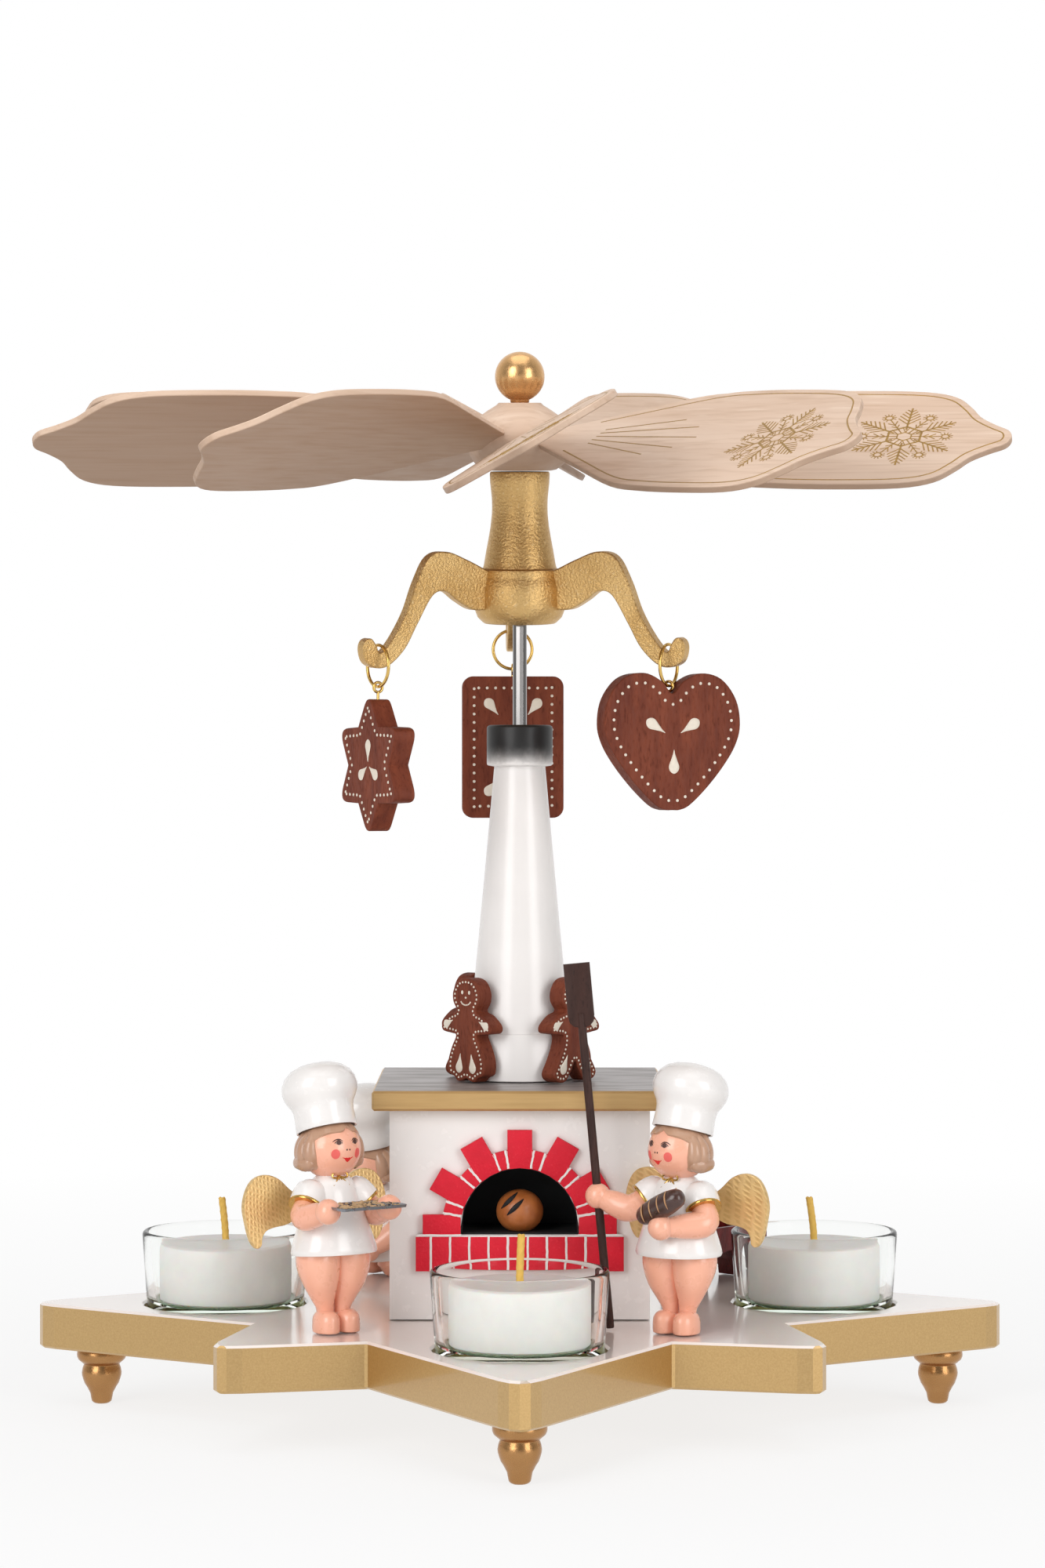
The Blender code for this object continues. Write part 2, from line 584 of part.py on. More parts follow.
def spinner():
    """Everything that turns on the spindle's point, tipped forward as one."""
    lean = spinner_place()
    dimple_top = PIVOT_LEVEL + GAP
    bearing_bottom = dimple_top - BEARING_DIMPLE
    bearing_top = bearing_bottom + BEARING_HEIGHT
    bearing = turned_mesh([
        (0, bearing_top), (BEARING_RADIUS, bearing_top), (BEARING_RADIUS, bearing_bottom),
        (BEARING_DIMPLE, bearing_bottom), (0, dimple_top)], SMALL_STEPS)
    part("spindle_bearing", placed(bearing, lean), "brass", origin=(0, 0, PIVOT_LEVEL))

    bowl_top = VASE_BOTTOM + VASE_BOWL_HEIGHT
    neck = VASE_NECK_HEIGHT
    seat = BEARING_RADIUS + GAP
    seat_top = bearing_top + GAP
    profile = [(0, VASE_TOP), (VASE_TOP_RADIUS, VASE_TOP),
               (VASE_TOP_RADIUS, bowl_top + neck * NECK_LIP_SHARE)]
    profile += [(r * VASE_WAIST_RADIUS, bowl_top + z * neck) for r, z in WAIST_SHARES]
    profile += [(r * VASE_FOOT_RADIUS, bowl_top + z * neck) for r, z in NECK_FOOT_SHARES]
    profile += [(r * VASE_BOWL_RADIUS, VASE_BOTTOM + z * VASE_BOWL_HEIGHT) for r, z in BOWL_SHARES]
    profile += [(VASE_BORE_RADIUS, VASE_BOTTOM), (VASE_BORE_TOP_RADIUS, bearing_bottom - GAP),
                (seat, bearing_bottom - GAP), (seat, seat_top), (0, seat_top)]
    lowest = VASE_BOTTOM + ARM_LOWEST
    slot = box_mesh((ARM_ROOT - GAP, -ARM_THICKNESS / 2 - GAP, lowest + ARM_RISE * ARM_ROOT_SHARES[0] - GAP),
                    (VASE_BOWL_RADIUS + OVERRUN, ARM_THICKNESS / 2 + GAP,
                     lowest + ARM_RISE * ARM_ROOT_SHARES[1] + GAP))
    slots = [placed(slot, turn(angle)) for angle in arm_angles()]
    part("spinner_vase", placed(cut(turned_mesh(profile), slots), lean), "gold_paint")

    outline = flowing([(ARM_ROOT + x * ARM_REACH, y * ARM_RISE) for x, y in ARM_SHARES], 2)
    root_cut = box_mesh((-ARM_REACH, -ARM_RISE, -ARM_THICKNESS), (ARM_ROOT, ARM_RISE * 2, ARM_THICKNESS))
    arm = placed(cut(outline_mesh(outline, ARM_THICKNESS), [root_cut]), turn(math.pi / 2, "X"))
    for number, angle in enumerate(arm_angles()):
        part(f"arm_{ARM_NAMES[number]}", placed(arm, lean @ shift(z=lowest) @ turn(angle)), "gold_paint",
             smooth=False)

    hub = turned_mesh([(0, HUB_TOP), (HUB_TOP_RADIUS, HUB_TOP)]
                      + [(r * HUB_RADIUS, HUB_BOTTOM + z * HUB_HEIGHT) for r, z in HUB_SHARES]
                      + [(0, HUB_BOTTOM)])
    plate = placed(outline_mesh(wing_outline(), WING_THICKNESS), turn(WING_PITCH, "X"))
    clearance = SLOT_CLEARANCE
    slot = placed(box_mesh(
        (-clearance, -WING_SLOT_SHARE * WING_HALF_WIDTH - clearance, -WING_THICKNESS / 2 - clearance),
        (HUB_RADIUS, WING_SLOT_SHARE * WING_HALF_WIDTH + clearance, WING_THICKNESS / 2 + clearance)),
        turn(WING_PITCH, "X"))
    places = [turn(angle) @ shift(WING_ROOT, z=WING_LEVEL)
              for angle in round_the_centre(WING_COUNT, WING_ANGLE)]
    part("wing_hub", placed(cut(hub, [placed(slot, place) for place in places]), lean), "bare_maple")
    for number, place in enumerate(places):
        part(f"wing_{number + 1}", placed(plate, lean @ place), "bare_maple", smooth=False)
    ball_place = lean @ shift(z=HUB_TOP + BALL_RADIUS + GAP)
    part("top_ball", placed(ball_mesh(BALL_RADIUS, SMALL_STEPS), ball_place), "gold_paint")


ARM_NAMES = ["back", "left", "right"]
ARM_ROOT_SHARES = (0.46, 0.87)
WING_SLOT_SHARE = 0.24
# An arm seen from its side, from the root's top out over the crest to the hook, and back below
ARM_SHARES = [(-0.1, 0.79), (0.059, 0.815), (0.226, 0.918), (0.388, 1), (0.515, 0.957), (0.607, 0.74),
              (0.68, 0.487), (0.769, 0.28), (0.845, 0.155), (0.883, 0.14), (0.905, 0.205), (0.94, 0.262),
              (0.985, 0.24), (1, 0.16), (0.974, 0.05), (0.896, 0), (0.805, 0.026), (0.694, 0.165),
              (0.605, 0.372), (0.494, 0.615), (0.402, 0.651), (0.313, 0.569), (0.205, 0.487),
              (0.1, 0.475), (-0.1, 0.47)]
HOOK_SHARES = (0.872, 0.165)


def arm_angles():
    return [math.pi / 2 + SPINNER_ANGLE + index * math.tau / ARM_COUNT for index in range(ARM_COUNT)]


def ring_centre_height():
    """The ring's wire lies over the hook, clear of the edges of its flat top."""
    droop = RING_RADIUS - math.sqrt(RING_RADIUS ** 2 - (ARM_THICKNESS / 2) ** 2)
    seat = VASE_BOTTOM + ARM_LOWEST + HOOK_SHARES[1] * ARM_RISE
    return seat + GAP + WIRE_RADIUS + droop - RING_RADIUS


def ring_points(radius, count, plane_turn):
    return [plane_turn @ Vector((radius * math.cos(math.tau * step / count), 0,
                                 radius * math.sin(math.tau * step / count))) for step in range(count)]


# Half outlines from top to bottom, as shares of the half width and half height
HEART_SHARES = [(0, 0.7), (0.16, 0.88), (0.42, 1), (0.72, 0.92), (0.94, 0.62), (1, 0.25), (0.93, -0.05),
                (0.75, -0.36), (0.5, -0.68), (0.25, -0.93), (0.1, -1), (0, -1)]
HEART_HEIGHT_SHARE = 0.93


def biscuit_outlines():
    """Name and outline of each pendant, its top edge above the origin."""
    plaque = rounded([(PLAQUE_HALF_WIDTH, PLAQUE_HALF_HEIGHT), (-PLAQUE_HALF_WIDTH, PLAQUE_HALF_HEIGHT),
                      (-PLAQUE_HALF_WIDTH, -PLAQUE_HALF_HEIGHT), (PLAQUE_HALF_WIDTH, -PLAQUE_HALF_HEIGHT)],
                     [BISCUIT_ROUNDING] * 4)
    star = []
    for index in range(12):
        reach = STAR_RADIUS if index % 2 == 0 else STAR_RADIUS * STAR_VALLEY_SHARE
        angle = math.pi / 2 + index * math.tau / 12
        star.append((reach * math.cos(angle), reach * math.sin(angle)))
    heart_half_height = HEART_HALF_WIDTH * HEART_HEIGHT_SHARE
    heart = flowing(mirrored(scaled(HEART_SHARES, HEART_HALF_WIDTH, heart_half_height)), 2)
    return [("plaque", plaque, PLAQUE_HALF_HEIGHT),
            ("star", rounded(star, [BISCUIT_ROUNDING, 0] * 6, 3), STAR_RADIUS * STAR_TOP_SHARE),
            ("heart", heart, heart_half_height * HEART_SHARES[0][1])]


STAR_VALLEY_SHARE = 0.6
STAR_TOP_SHARE = 0.955
BISCUIT_TURNS = {"plaque": math.radians(0), "star": math.radians(-3), "heart": math.radians(-42)}


def pendants():
    """A ring over each hook, a screw eye on the ring and a gingerbread biscuit on the eye."""
    radial = ARM_ROOT + HOOK_SHARES[0] * ARM_REACH
    level = ring_centre_height()
    for (name, outline, top), angle in zip(biscuit_outlines(), arm_angles()):
        origin = (spinner_place() @ turn(angle) @ shift(radial, z=level + RING_RADIUS)).translation
        place = shift(*origin) @ shift(z=-RING_RADIUS) @ turn(angle)
        ring = rod_mesh(ring_points(RING_RADIUS, 20, turn(math.pi / 2)), WIRE_RADIUS, 8, closed=True)
        part(f"ring_{name}", placed(ring, place), "brass", origin=origin)

        eye_level = -RING_RADIUS + WIRE_RADIUS + EYE_WIRE_RADIUS + GAP - EYE_RADIUS
        eye = rod_mesh(ring_points(EYE_RADIUS, 12, Matrix.Identity(4)), EYE_WIRE_RADIUS, 8, closed=True)
        neck_top = -EYE_RADIUS + EYE_WIRE_RADIUS / 2
        shank = placed(box_mesh((-0.5, -0.5, -1), (0.5, 0.5, 0)),
                       shift(z=neck_top)
                       @ Matrix.Diagonal((EYE_WIRE_RADIUS * 2, EYE_WIRE_RADIUS * 2, EYE_SHANK, 1)))
        eye = joined(eye, [shank])
        eye_place = place @ shift(z=eye_level)
        part(f"screw_eye_{name}", placed(eye, eye_place), "brass", origin=place.translation)

        bottom = -EYE_RADIUS - EYE_WIRE_RADIUS
        biscuit = outline_mesh(outline, BISCUIT_THICKNESS)
        biscuit = placed(biscuit, shift(z=bottom - GAP - top) @ turn(BISCUIT_TURNS[name])
                         @ turn(math.pi / 2) @ turn(math.pi / 2, "X"))
        hole_half = EYE_WIRE_RADIUS + GAP
        hole = box_mesh((-hole_half, -hole_half, neck_top - EYE_SHANK - GAP), (hole_half, hole_half, 0))
        part(f"biscuit_{name}", placed(cut(biscuit, [hole]), eye_place), "brown_stain", smooth=False,
             origin=place.translation)


# Half outlines of the gingerbread figures from the crown down, as shares of the height
BOY_SHARES = [(0, 1), (0.12, 0.97), (0.19, 0.87), (0.19, 0.77), (0.13, 0.68), (0.24, 0.64), (0.36, 0.55),
              (0.36, 0.48), (0.25, 0.46), (0.17, 0.44), (0.18, 0.34), (0.25, 0.2), (0.32, 0.08),
              (0.27, 0.01), (0.15, 0), (0.06, 0.1), (0, 0.19)]
GIRL_SHARES = [(0, 1), (0.12, 0.97), (0.19, 0.87), (0.19, 0.77), (0.14, 0.68), (0.24, 0.64), (0.35, 0.55),
               (0.34, 0.48), (0.22, 0.46), (0.15, 0.44), (0.21, 0.33), (0.26, 0.2), (0.25, 0.08),
               (0.17, 0.04), (0.12, 0), (0.05, 0.01), (0, 0.03)]
GINGER_AZIMUTHS = {"front_left": math.radians(222), "front_right": math.radians(-40),
                   "back_right": math.radians(40), "back_left": math.radians(138)}


def gingerbread():
    """Four flat figures that stand on the oven with their backs to the chimney."""
    radius = CHIMNEY_BASE_RADIUS + GAP + GINGER_THICKNESS / 2
    for name, angle in GINGER_AZIMUTHS.items():
        shares = GIRL_SHARES if name in ("front_left", "back_right") else BOY_SHARES
        outline = flowing(mirrored(scaled(shares, GINGER_HEIGHT, GINGER_HEIGHT)), 2)
        lowest = min(y for _, y in outline)
        plate = outline_mesh([(x, y - lowest) for x, y in outline], GINGER_THICKNESS)
        plate = placed(plate, turn(angle) @ shift(radius, z=TOP_SURFACE + GAP)
                       @ turn(math.pi / 2) @ turn(math.pi / 2, "X"))
        part(f"gingerbread_{name}", plate, "brown_stain", smooth=False)



def limb_mesh(points, radii, steps=8):
    """A round limb that swells and tapers along its points."""
    curve = bpy.data.curves.new("limb", "CURVE")
    curve.dimensions = "3D"
    curve.bevel_depth = max(radii)
    curve.bevel_resolution = steps // 4 - 1
    curve.use_fill_caps = True
    spline = curve.splines.new("POLY")
    spline.points.add(len(points) - 1)
    for corner, place, radius in zip(spline.points, points, radii):
        corner.co = (*place, 1)
        corner.radius = radius / max(radii)
    thing = bpy.data.objects.new("limb", curve)
    CUTTERS.objects.link(thing)
    return settled(thing)


# A baker in shares of its height, facing -Y: profiles from the top down, places as x, y, z
COAT_SHARES = [(0, 0.59), (0.045, 0.585), (0.085, 0.56), (0.107, 0.51), (0.128, 0.43), (0.153, 0.35),
               (0.165, 0.305), (0.161, 0.285), (0, 0.285)]
COAT_DEPTH_SHARE = 0.85
SHOE_SHARES = [(0, 0.085), (0.034, 0.08), (0.046, 0.055), (0.048, 0.01), (0.042, 0), (0, 0)]
SHOE_LENGTH_SHARE = 1.35
LEG_PLACE_SHARES = [(0.06, 0.03, 0.33), (0.06, 0.0, 0.2), (0.045, 0.005, 0.09), (0.042, 0, 0.03)]
LEG_RADIUS_SHARES = [0.078, 0.062, 0.036, 0.03]
KNEEL_DROP_SHARE = 0.187
KNEEL_PLACE_SHARES = [(0.06, 0.01, 0.15), (0.062, -0.06, 0.055), (0.058, 0.04, 0.045), (0.05, 0.15, 0.04)]
KNEEL_RADIUS_SHARES = [0.075, 0.062, 0.054, 0.042]
HEAD_PLACE_SHARES = (0, 0, 0.672)
HEAD_RADIUS_SHARE = 0.104
HAIR_PLACE_SHARES = (0.09, 0.018, -0.012)   # from the head's centre
HAIR_RADIUS_SHARE = 0.044
SHOULDER_SHARES = (0.09, 0, 0.52)
ARM_RADIUS_SHARES = [0.048, 0.05, 0.036]
HAND_RADIUS_SHARE = 0.046
HAT_SHARES = [(0, 0.25), (0.06, 0.244), (0.112, 0.22), (0.139, 0.18), (0.141, 0.145), (0.124, 0.11),
              (0.108, 0.085), (0.106, 0.05), (0.108, 0), (0, 0)]
HAT_SEAT_SHARE = 0.07
HIP_SHARE = 0.3
ELBOW_TRAY_SHARES = (0.155, -0.04, 0.405)
HAND_TRAY_SHARES = (0.13, -0.185, 0.415)
ELBOW_LOAF_SHARES = (0.155, -0.05, 0.41)
HAND_LOAF_SHARES = (0.03, -0.175, 0.405)
LOAF_SHARES = (0.03, -0.175, 0.48)
ELBOW_PEEL_SHARES = (-0.165, -0.075, 0.445)
ELBOW_LOW_SHARES = (0.155, -0.04, 0.41)
HAND_LOW_SHARES = (0.07, -0.175, 0.36)
PEEL_HAND_SHARE = 0.49
TRAY_GRIP_SHARE = 0.35        # of a hand's radius, above its centre
TRAY_FORWARD_SHARE = 0.33     # of the tray's half width

# How far a baker turns from facing the front, how far it bows and how far its hat tips
BAKER_TURNS = {"tray": math.radians(34), "peel": math.radians(-34), "back": math.radians(-45)}
HEAD_TURNS = {"tray": math.radians(5), "peel": math.radians(-16), "back": math.radians(-4)}
BAKER_BOWS = {"tray": math.radians(-4), "peel": math.radians(0), "back": math.radians(18)}
HAT_TILTS = {"tray": math.radians(-9), "peel": math.radians(-12), "back": math.radians(-6)}
LOAF_TILT = math.radians(-28)
PEEL_LEAN = math.radians(-5.3)
TROUGH_TURN = math.radians(45)

# Half of a baker's pair of wings from the top down, as shares of the wings' height
FEATHER_SHARES = [(0, 0.6), (0.2, 0.64), (0.4, 0.77), (0.58, 0.93), (0.78, 1), (0.97, 0.95), (1.09, 0.8),
                  (1.15, 0.58), (1.12, 0.35), (1.06, 0.12), (0.97, 0), (0.89, 0.03), (0.87, 0.14),
                  (0.8, 0.23), (0.66, 0.27), (0.5, 0.29), (0.33, 0.35), (0.16, 0.42), (0, 0.45)]
FEATHER_LEVEL_SHARE = 0.318
# The paddle of the bread peel from its top corner down, as shares of its half width and length
PADDLE_SHARES = [(1, 1), (1, 0.14), (0.72, 0.04), (0.34, 0)]


def body_share(shares, side=1):
    return Vector((side * shares[0] * BAKER_HEIGHT, shares[1] * BAKER_HEIGHT, shares[2] * BAKER_HEIGHT))


def baker_place(name):
    """The tray and peel bakers stand before the oven's front corners, the third one behind its left."""
    spots = {"tray": (-TOP_HALF - TRAY_BAKER_ASIDE, -TOP_HALF - TRAY_BAKER_AHEAD),
             "peel": (TOP_HALF + PEEL_BAKER_ASIDE, -TOP_HALF - PEEL_BAKER_AHEAD),
             "back": (-TOP_HALF + BACK_BAKER_INSIDE, TOP_HALF + BACK_BAKER_BEHIND)}
    return shift(*spots[name], BOARD_TOP + GAP) @ turn(BAKER_TURNS[name])


def torso_place(name):
    """The bow above the hips, and the drop of the one that kneels, in its own frame."""
    hip = HIP_SHARE * BAKER_HEIGHT
    drop = KNEEL_DROP_SHARE * BAKER_HEIGHT if name == "back" else 0
    return shift(z=hip - drop) @ turn(BAKER_BOWS[name], "X") @ shift(z=-hip)


def head_place(name):
    return torso_place(name) @ shift(*body_share(HEAD_PLACE_SHARES)) @ turn(HEAD_TURNS[name])


def peel_place():
    return (shift(TOP_HALF - PEEL_FOOT_INSIDE, -TOP_HALF - PEEL_FOOT_AHEAD, BOARD_TOP + 2 * GAP)
            @ turn(PEEL_LEAN, "Y"))


def leg_meshes(kneeling):
    size = BAKER_HEIGHT
    places = KNEEL_PLACE_SHARES if kneeling else LEG_PLACE_SHARES
    radii = [radius * size for radius in (KNEEL_RADIUS_SHARES if kneeling else LEG_RADIUS_SHARES)]
    pieces = []
    for side in (1, -1):
        pieces.append(limb_mesh([body_share(place, side) for place in places], radii))
        if not kneeling:
            shoe = turned_mesh([(r * size, z * size) for r, z in SHOE_SHARES], 8)
            foot = body_share(places[-1], side)
            pieces.append(placed(shoe, shift(foot.x, foot.y - SHOE_SHARES[3][0] * size / 3)
                                 @ Matrix.Diagonal((1, SHOE_LENGTH_SHARE, 1, 1))))
    return pieces


def baker_body(name, hands, elbows, extras, held):
    """One turned and painted figure: coat, legs, head, hair and arms. held cuts the hands' grips."""
    size = BAKER_HEIGHT
    torso = torso_place(name)
    coat = placed(turned_mesh([(r * size, z * size) for r, z in COAT_SHARES], 12),
                  torso @ Matrix.Diagonal((1, COAT_DEPTH_SHARE, 1, 1)))
    head = head_place(name)
    pieces = [placed(ball_mesh(HEAD_RADIUS_SHARE * size, 12), head)]
    for side in (1, -1):
        pieces.append(placed(ball_mesh(HAIR_RADIUS_SHARE * size, 8, HAIR_STRETCH_SHARES),
                             head @ shift(*body_share(HAIR_PLACE_SHARES, side))))
    for side, elbow, hand in zip((1, -1), elbows, hands):
        pieces.append(limb_mesh([torso @ body_share(SHOULDER_SHARES, side), elbow, hand],
                                [radius * size for radius in ARM_RADIUS_SHARES]))
        pieces.append(placed(ball_mesh(HAND_RADIUS_SHARE * size, 8), shift(*hand)))
    body = joined(coat, leg_meshes(name == "back") + pieces + extras)
    below = box_mesh((-size, -size, -size), (size, size, 0))
    return cut(body, held + [below])


HAIR_STRETCH_SHARES = (0.7, 1, 1.1)


def baker_hat(name):
    size = BAKER_HEIGHT
    hat = turned_mesh([(r * size, (z + HAT_SEAT_SHARE) * size) for r, z in HAT_SHARES], SMALL_STEPS)
    hat = cut(hat, [ball_mesh(HEAD_RADIUS_SHARE * size + GAP, 12)])
    return placed(hat, head_place(name) @ turn(HAT_TILTS[name], "X"))


def baker_feathers(name):
    outline = flowing(mirrored(scaled(FEATHER_SHARES, WING_PLATE_HEIGHT, WING_PLATE_HEIGHT)), 2)
    plate = placed(outline_mesh(outline, WING_PLATE_THICKNESS), turn(math.pi / 2, "X"))
    back = COAT_SHARES[4][0] * COAT_DEPTH_SHARE * BAKER_HEIGHT + WING_PLATE_THICKNESS / 2 + FEATHER_GAP
    return placed(plate, torso_place(name) @ shift(y=back, z=FEATHER_LEVEL_SHARE * BAKER_HEIGHT))


# Share of the loaf's radius, from its end inwards: how far past the straight part, and how thick
LOAF_END_SHARES = [(1, 0.3), (0.7, 0.75), (0, 1)]


def loaf_mesh(radius, length):
    reach = length / 2 - radius
    half = [(reach + past * radius, thick * radius) for past, thick in LOAF_END_SHARES]
    line = [(-x, thick) for x, thick in half] + half[::-1]
    return limb_mesh([(x, 0, 0) for x, _ in line], [thick for _, thick in line], 12)


def bakers():
    low = PEEL_LENGTH - PEEL_BLADE_LENGTH
    peel_rod = rod_mesh([(0, 0, 0), (0, 0, low + PEEL_BLADE_LENGTH * PADDLE_SHARES[1][1])],
                        PEEL_ROD_RADIUS, 8)
    paddle = [(x * PEEL_BLADE_HALF_WIDTH, low + y * PEEL_BLADE_LENGTH) for x, y in PADDLE_SHARES]
    blade = placed(outline_mesh(mirrored(paddle), PEEL_BLADE_THICKNESS), turn(math.pi / 2, "X"))
    part("bread_peel", placed(joined(peel_rod, [blade]), peel_place()), "dark_wood", smooth=False)

    grip_height = PEEL_HAND_SHARE * BAKER_HEIGHT
    to_local = baker_place("peel").inverted()
    peel_hand = to_local @ (peel_place() @ Vector((0, 0, grip_height)))
    grip = placed(rod_mesh([(0, 0, 0), (0, 0, grip_height * 2)], PEEL_ROD_RADIUS + GAP, 8),
                  to_local @ peel_place())
    loaf = placed(loaf_mesh(LOAF_RADIUS, LOAF_LENGTH), shift(*body_share(LOAF_SHARES)) @ turn(LOAF_TILT, "Y"))

    hands, elbows = {}, {}
    for name, hand, elbow in (("tray", HAND_TRAY_SHARES, ELBOW_TRAY_SHARES),
                              ("back", HAND_LOW_SHARES, ELBOW_LOW_SHARES)):
        torso = torso_place(name)
        hands[name] = [torso @ body_share(hand, side) for side in (1, -1)]
        elbows[name] = [torso @ body_share(elbow, side) for side in (1, -1)]
    hands["peel"] = [body_share(HAND_LOAF_SHARES), peel_hand]
    elbows["peel"] = [body_share(ELBOW_LOAF_SHARES), body_share(ELBOW_PEEL_SHARES)]

    tray = rounded([(TRAY_HALF_LENGTH, TRAY_HALF_WIDTH), (-TRAY_HALF_LENGTH, TRAY_HALF_WIDTH),
                    (-TRAY_HALF_LENGTH, -TRAY_HALF_WIDTH), (TRAY_HALF_LENGTH, -TRAY_HALF_WIDTH)],
                   [TRAY_HALF_WIDTH / 5] * 4)
    hand = hands["tray"][0]
    tray = placed(outline_mesh(tray, TRAY_THICKNESS),
                  shift(y=hand.y - TRAY_HALF_WIDTH * TRAY_FORWARD_SHARE,
                        z=hand.z + HAND_RADIUS_SHARE * BAKER_HEIGHT * TRAY_GRIP_SHARE))
    extras = {"tray": [tray], "peel": [loaf], "back": []}
    held = {"tray": [], "peel": [grip], "back": []}
    for name in BAKER_TURNS:
        place = baker_place(name)
        body = baker_body(name, hands[name], elbows[name], extras[name], held[name])
        part(f"baker_{name}", placed(body, place), "skin_paint")
        part(f"baker_{name}_hat", placed(baker_hat(name), place), "white_lacquer")
        part(f"baker_{name}_wings", placed(baker_feathers(name), place), "gold_paint", smooth=False)


def kneading_trough():
    """A small bench trough on two arched boards, behind the oven."""
    place = (shift(TOP_HALF + TROUGH_ASIDE, TOP_HALF + TROUGH_BEHIND, BOARD_TOP + GAP)
             @ turn(TROUGH_TURN))
    block = box_mesh((-TROUGH_HALF_LENGTH, -TROUGH_HALF_WIDTH, 0),
                     (TROUGH_HALF_LENGTH, TROUGH_HALF_WIDTH, TROUGH_HEIGHT))
    hollow = box_mesh((-TROUGH_HALF_LENGTH + TROUGH_WALL, -TROUGH_HALF_WIDTH + TROUGH_WALL,
                       TROUGH_HEIGHT - TROUGH_DEPTH),
                      (TROUGH_HALF_LENGTH - TROUGH_WALL, TROUGH_HALF_WIDTH - TROUGH_WALL,
                       TROUGH_HEIGHT + OVERRUN))
    under = TROUGH_HEIGHT - TROUGH_DEPTH - TROUGH_WALL
    arch_half = TROUGH_HALF_LENGTH - TROUGH_WALL * 2
    arch = placed(outline_mesh([(x * arch_half, y * under) for x, y in arch_outline(1, -1, 12)],
                               TROUGH_HALF_WIDTH * 2 + OVERRUN), turn(math.pi / 2, "X"))
    part("kneading_trough", placed(cut(block, [hollow, arch]), place), "dark_red_wood", smooth=False)


clear_scene()
PARTS = new_collection("candle_carousel")
CUTTERS = new_collection("cutters")
CUTTERS.hide_render = True
base_board()
feet()
tealights()
oven()
chimney()
spinner()
pendants()
gingerbread()
bakers()
kneading_trough()
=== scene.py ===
"""Candle carousel: looks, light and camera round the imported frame. Metres, +Z up, front along -Y."""

import json
import math
import random

import bmesh
import bpy
from mathutils import Matrix, Vector

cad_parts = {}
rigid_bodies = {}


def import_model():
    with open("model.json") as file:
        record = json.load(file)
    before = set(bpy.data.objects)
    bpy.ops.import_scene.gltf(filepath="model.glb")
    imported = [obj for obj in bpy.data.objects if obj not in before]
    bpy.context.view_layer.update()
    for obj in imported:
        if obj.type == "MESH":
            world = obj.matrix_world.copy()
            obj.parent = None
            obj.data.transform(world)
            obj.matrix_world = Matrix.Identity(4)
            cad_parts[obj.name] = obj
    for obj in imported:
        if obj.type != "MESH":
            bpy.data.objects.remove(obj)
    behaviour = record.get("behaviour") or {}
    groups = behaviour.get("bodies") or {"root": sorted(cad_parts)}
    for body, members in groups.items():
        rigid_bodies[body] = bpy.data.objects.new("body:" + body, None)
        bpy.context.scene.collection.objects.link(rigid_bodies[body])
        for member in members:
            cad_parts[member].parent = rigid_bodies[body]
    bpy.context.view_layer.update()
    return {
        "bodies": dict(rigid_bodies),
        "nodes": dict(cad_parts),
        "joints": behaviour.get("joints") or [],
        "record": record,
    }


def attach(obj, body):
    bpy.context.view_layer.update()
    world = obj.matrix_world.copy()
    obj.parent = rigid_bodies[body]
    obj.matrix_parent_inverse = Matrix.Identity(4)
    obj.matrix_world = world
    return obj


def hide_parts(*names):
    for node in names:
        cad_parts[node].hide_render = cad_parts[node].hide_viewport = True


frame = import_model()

RANGE_SOCKETS = ("From Min", "From Max", "To Min", "To Max")
NODES = frame["nodes"]

# Heights and places that the frame shares with the pieces here
BOARD_TOP = 0.0272
TOP_SURFACE = 0.0875
GAP = 0.0003

# How far a painted line stands proud of its surface
SHOW = 0.00006


# Materials
class Nodes:
    """Short calls for the nodes of one tree."""

    def __init__(self, tree):
        self.tree = tree

    def node(self, kind, **settings):
        made = self.tree.nodes.new(kind)
        for key, value in settings.items():
            setattr(made, key, value)
        return made

    def feed(self, target, value):
        if isinstance(value, bpy.types.NodeSocket):
            self.tree.links.new(value, target)
        else:
            target.default_value = value

    def span(self, value, low, high, to_low=0.0, to_high=1.0):
        made = self.node("ShaderNodeMapRange", clamp=True)
        self.feed(made.inputs["Value"], value)
        for socket, number in zip(RANGE_SOCKETS, (low, high, to_low, to_high)):
            made.inputs[socket].default_value = number
        return made.outputs["Result"]

    def math(self, operation, a, b):
        made = self.node("ShaderNodeMath", operation=operation)
        self.feed(made.inputs[0], a)
        self.feed(made.inputs[1], b)
        return made.outputs[0]

    def blend(self, share, one, two):
        """Two shaders mixed by a share."""
        made = self.node("ShaderNodeMixShader")
        for socket, value in zip(made.inputs, (share, one.outputs[0], two.outputs[0])):
            self.feed(socket, value)
        return made.outputs[0]


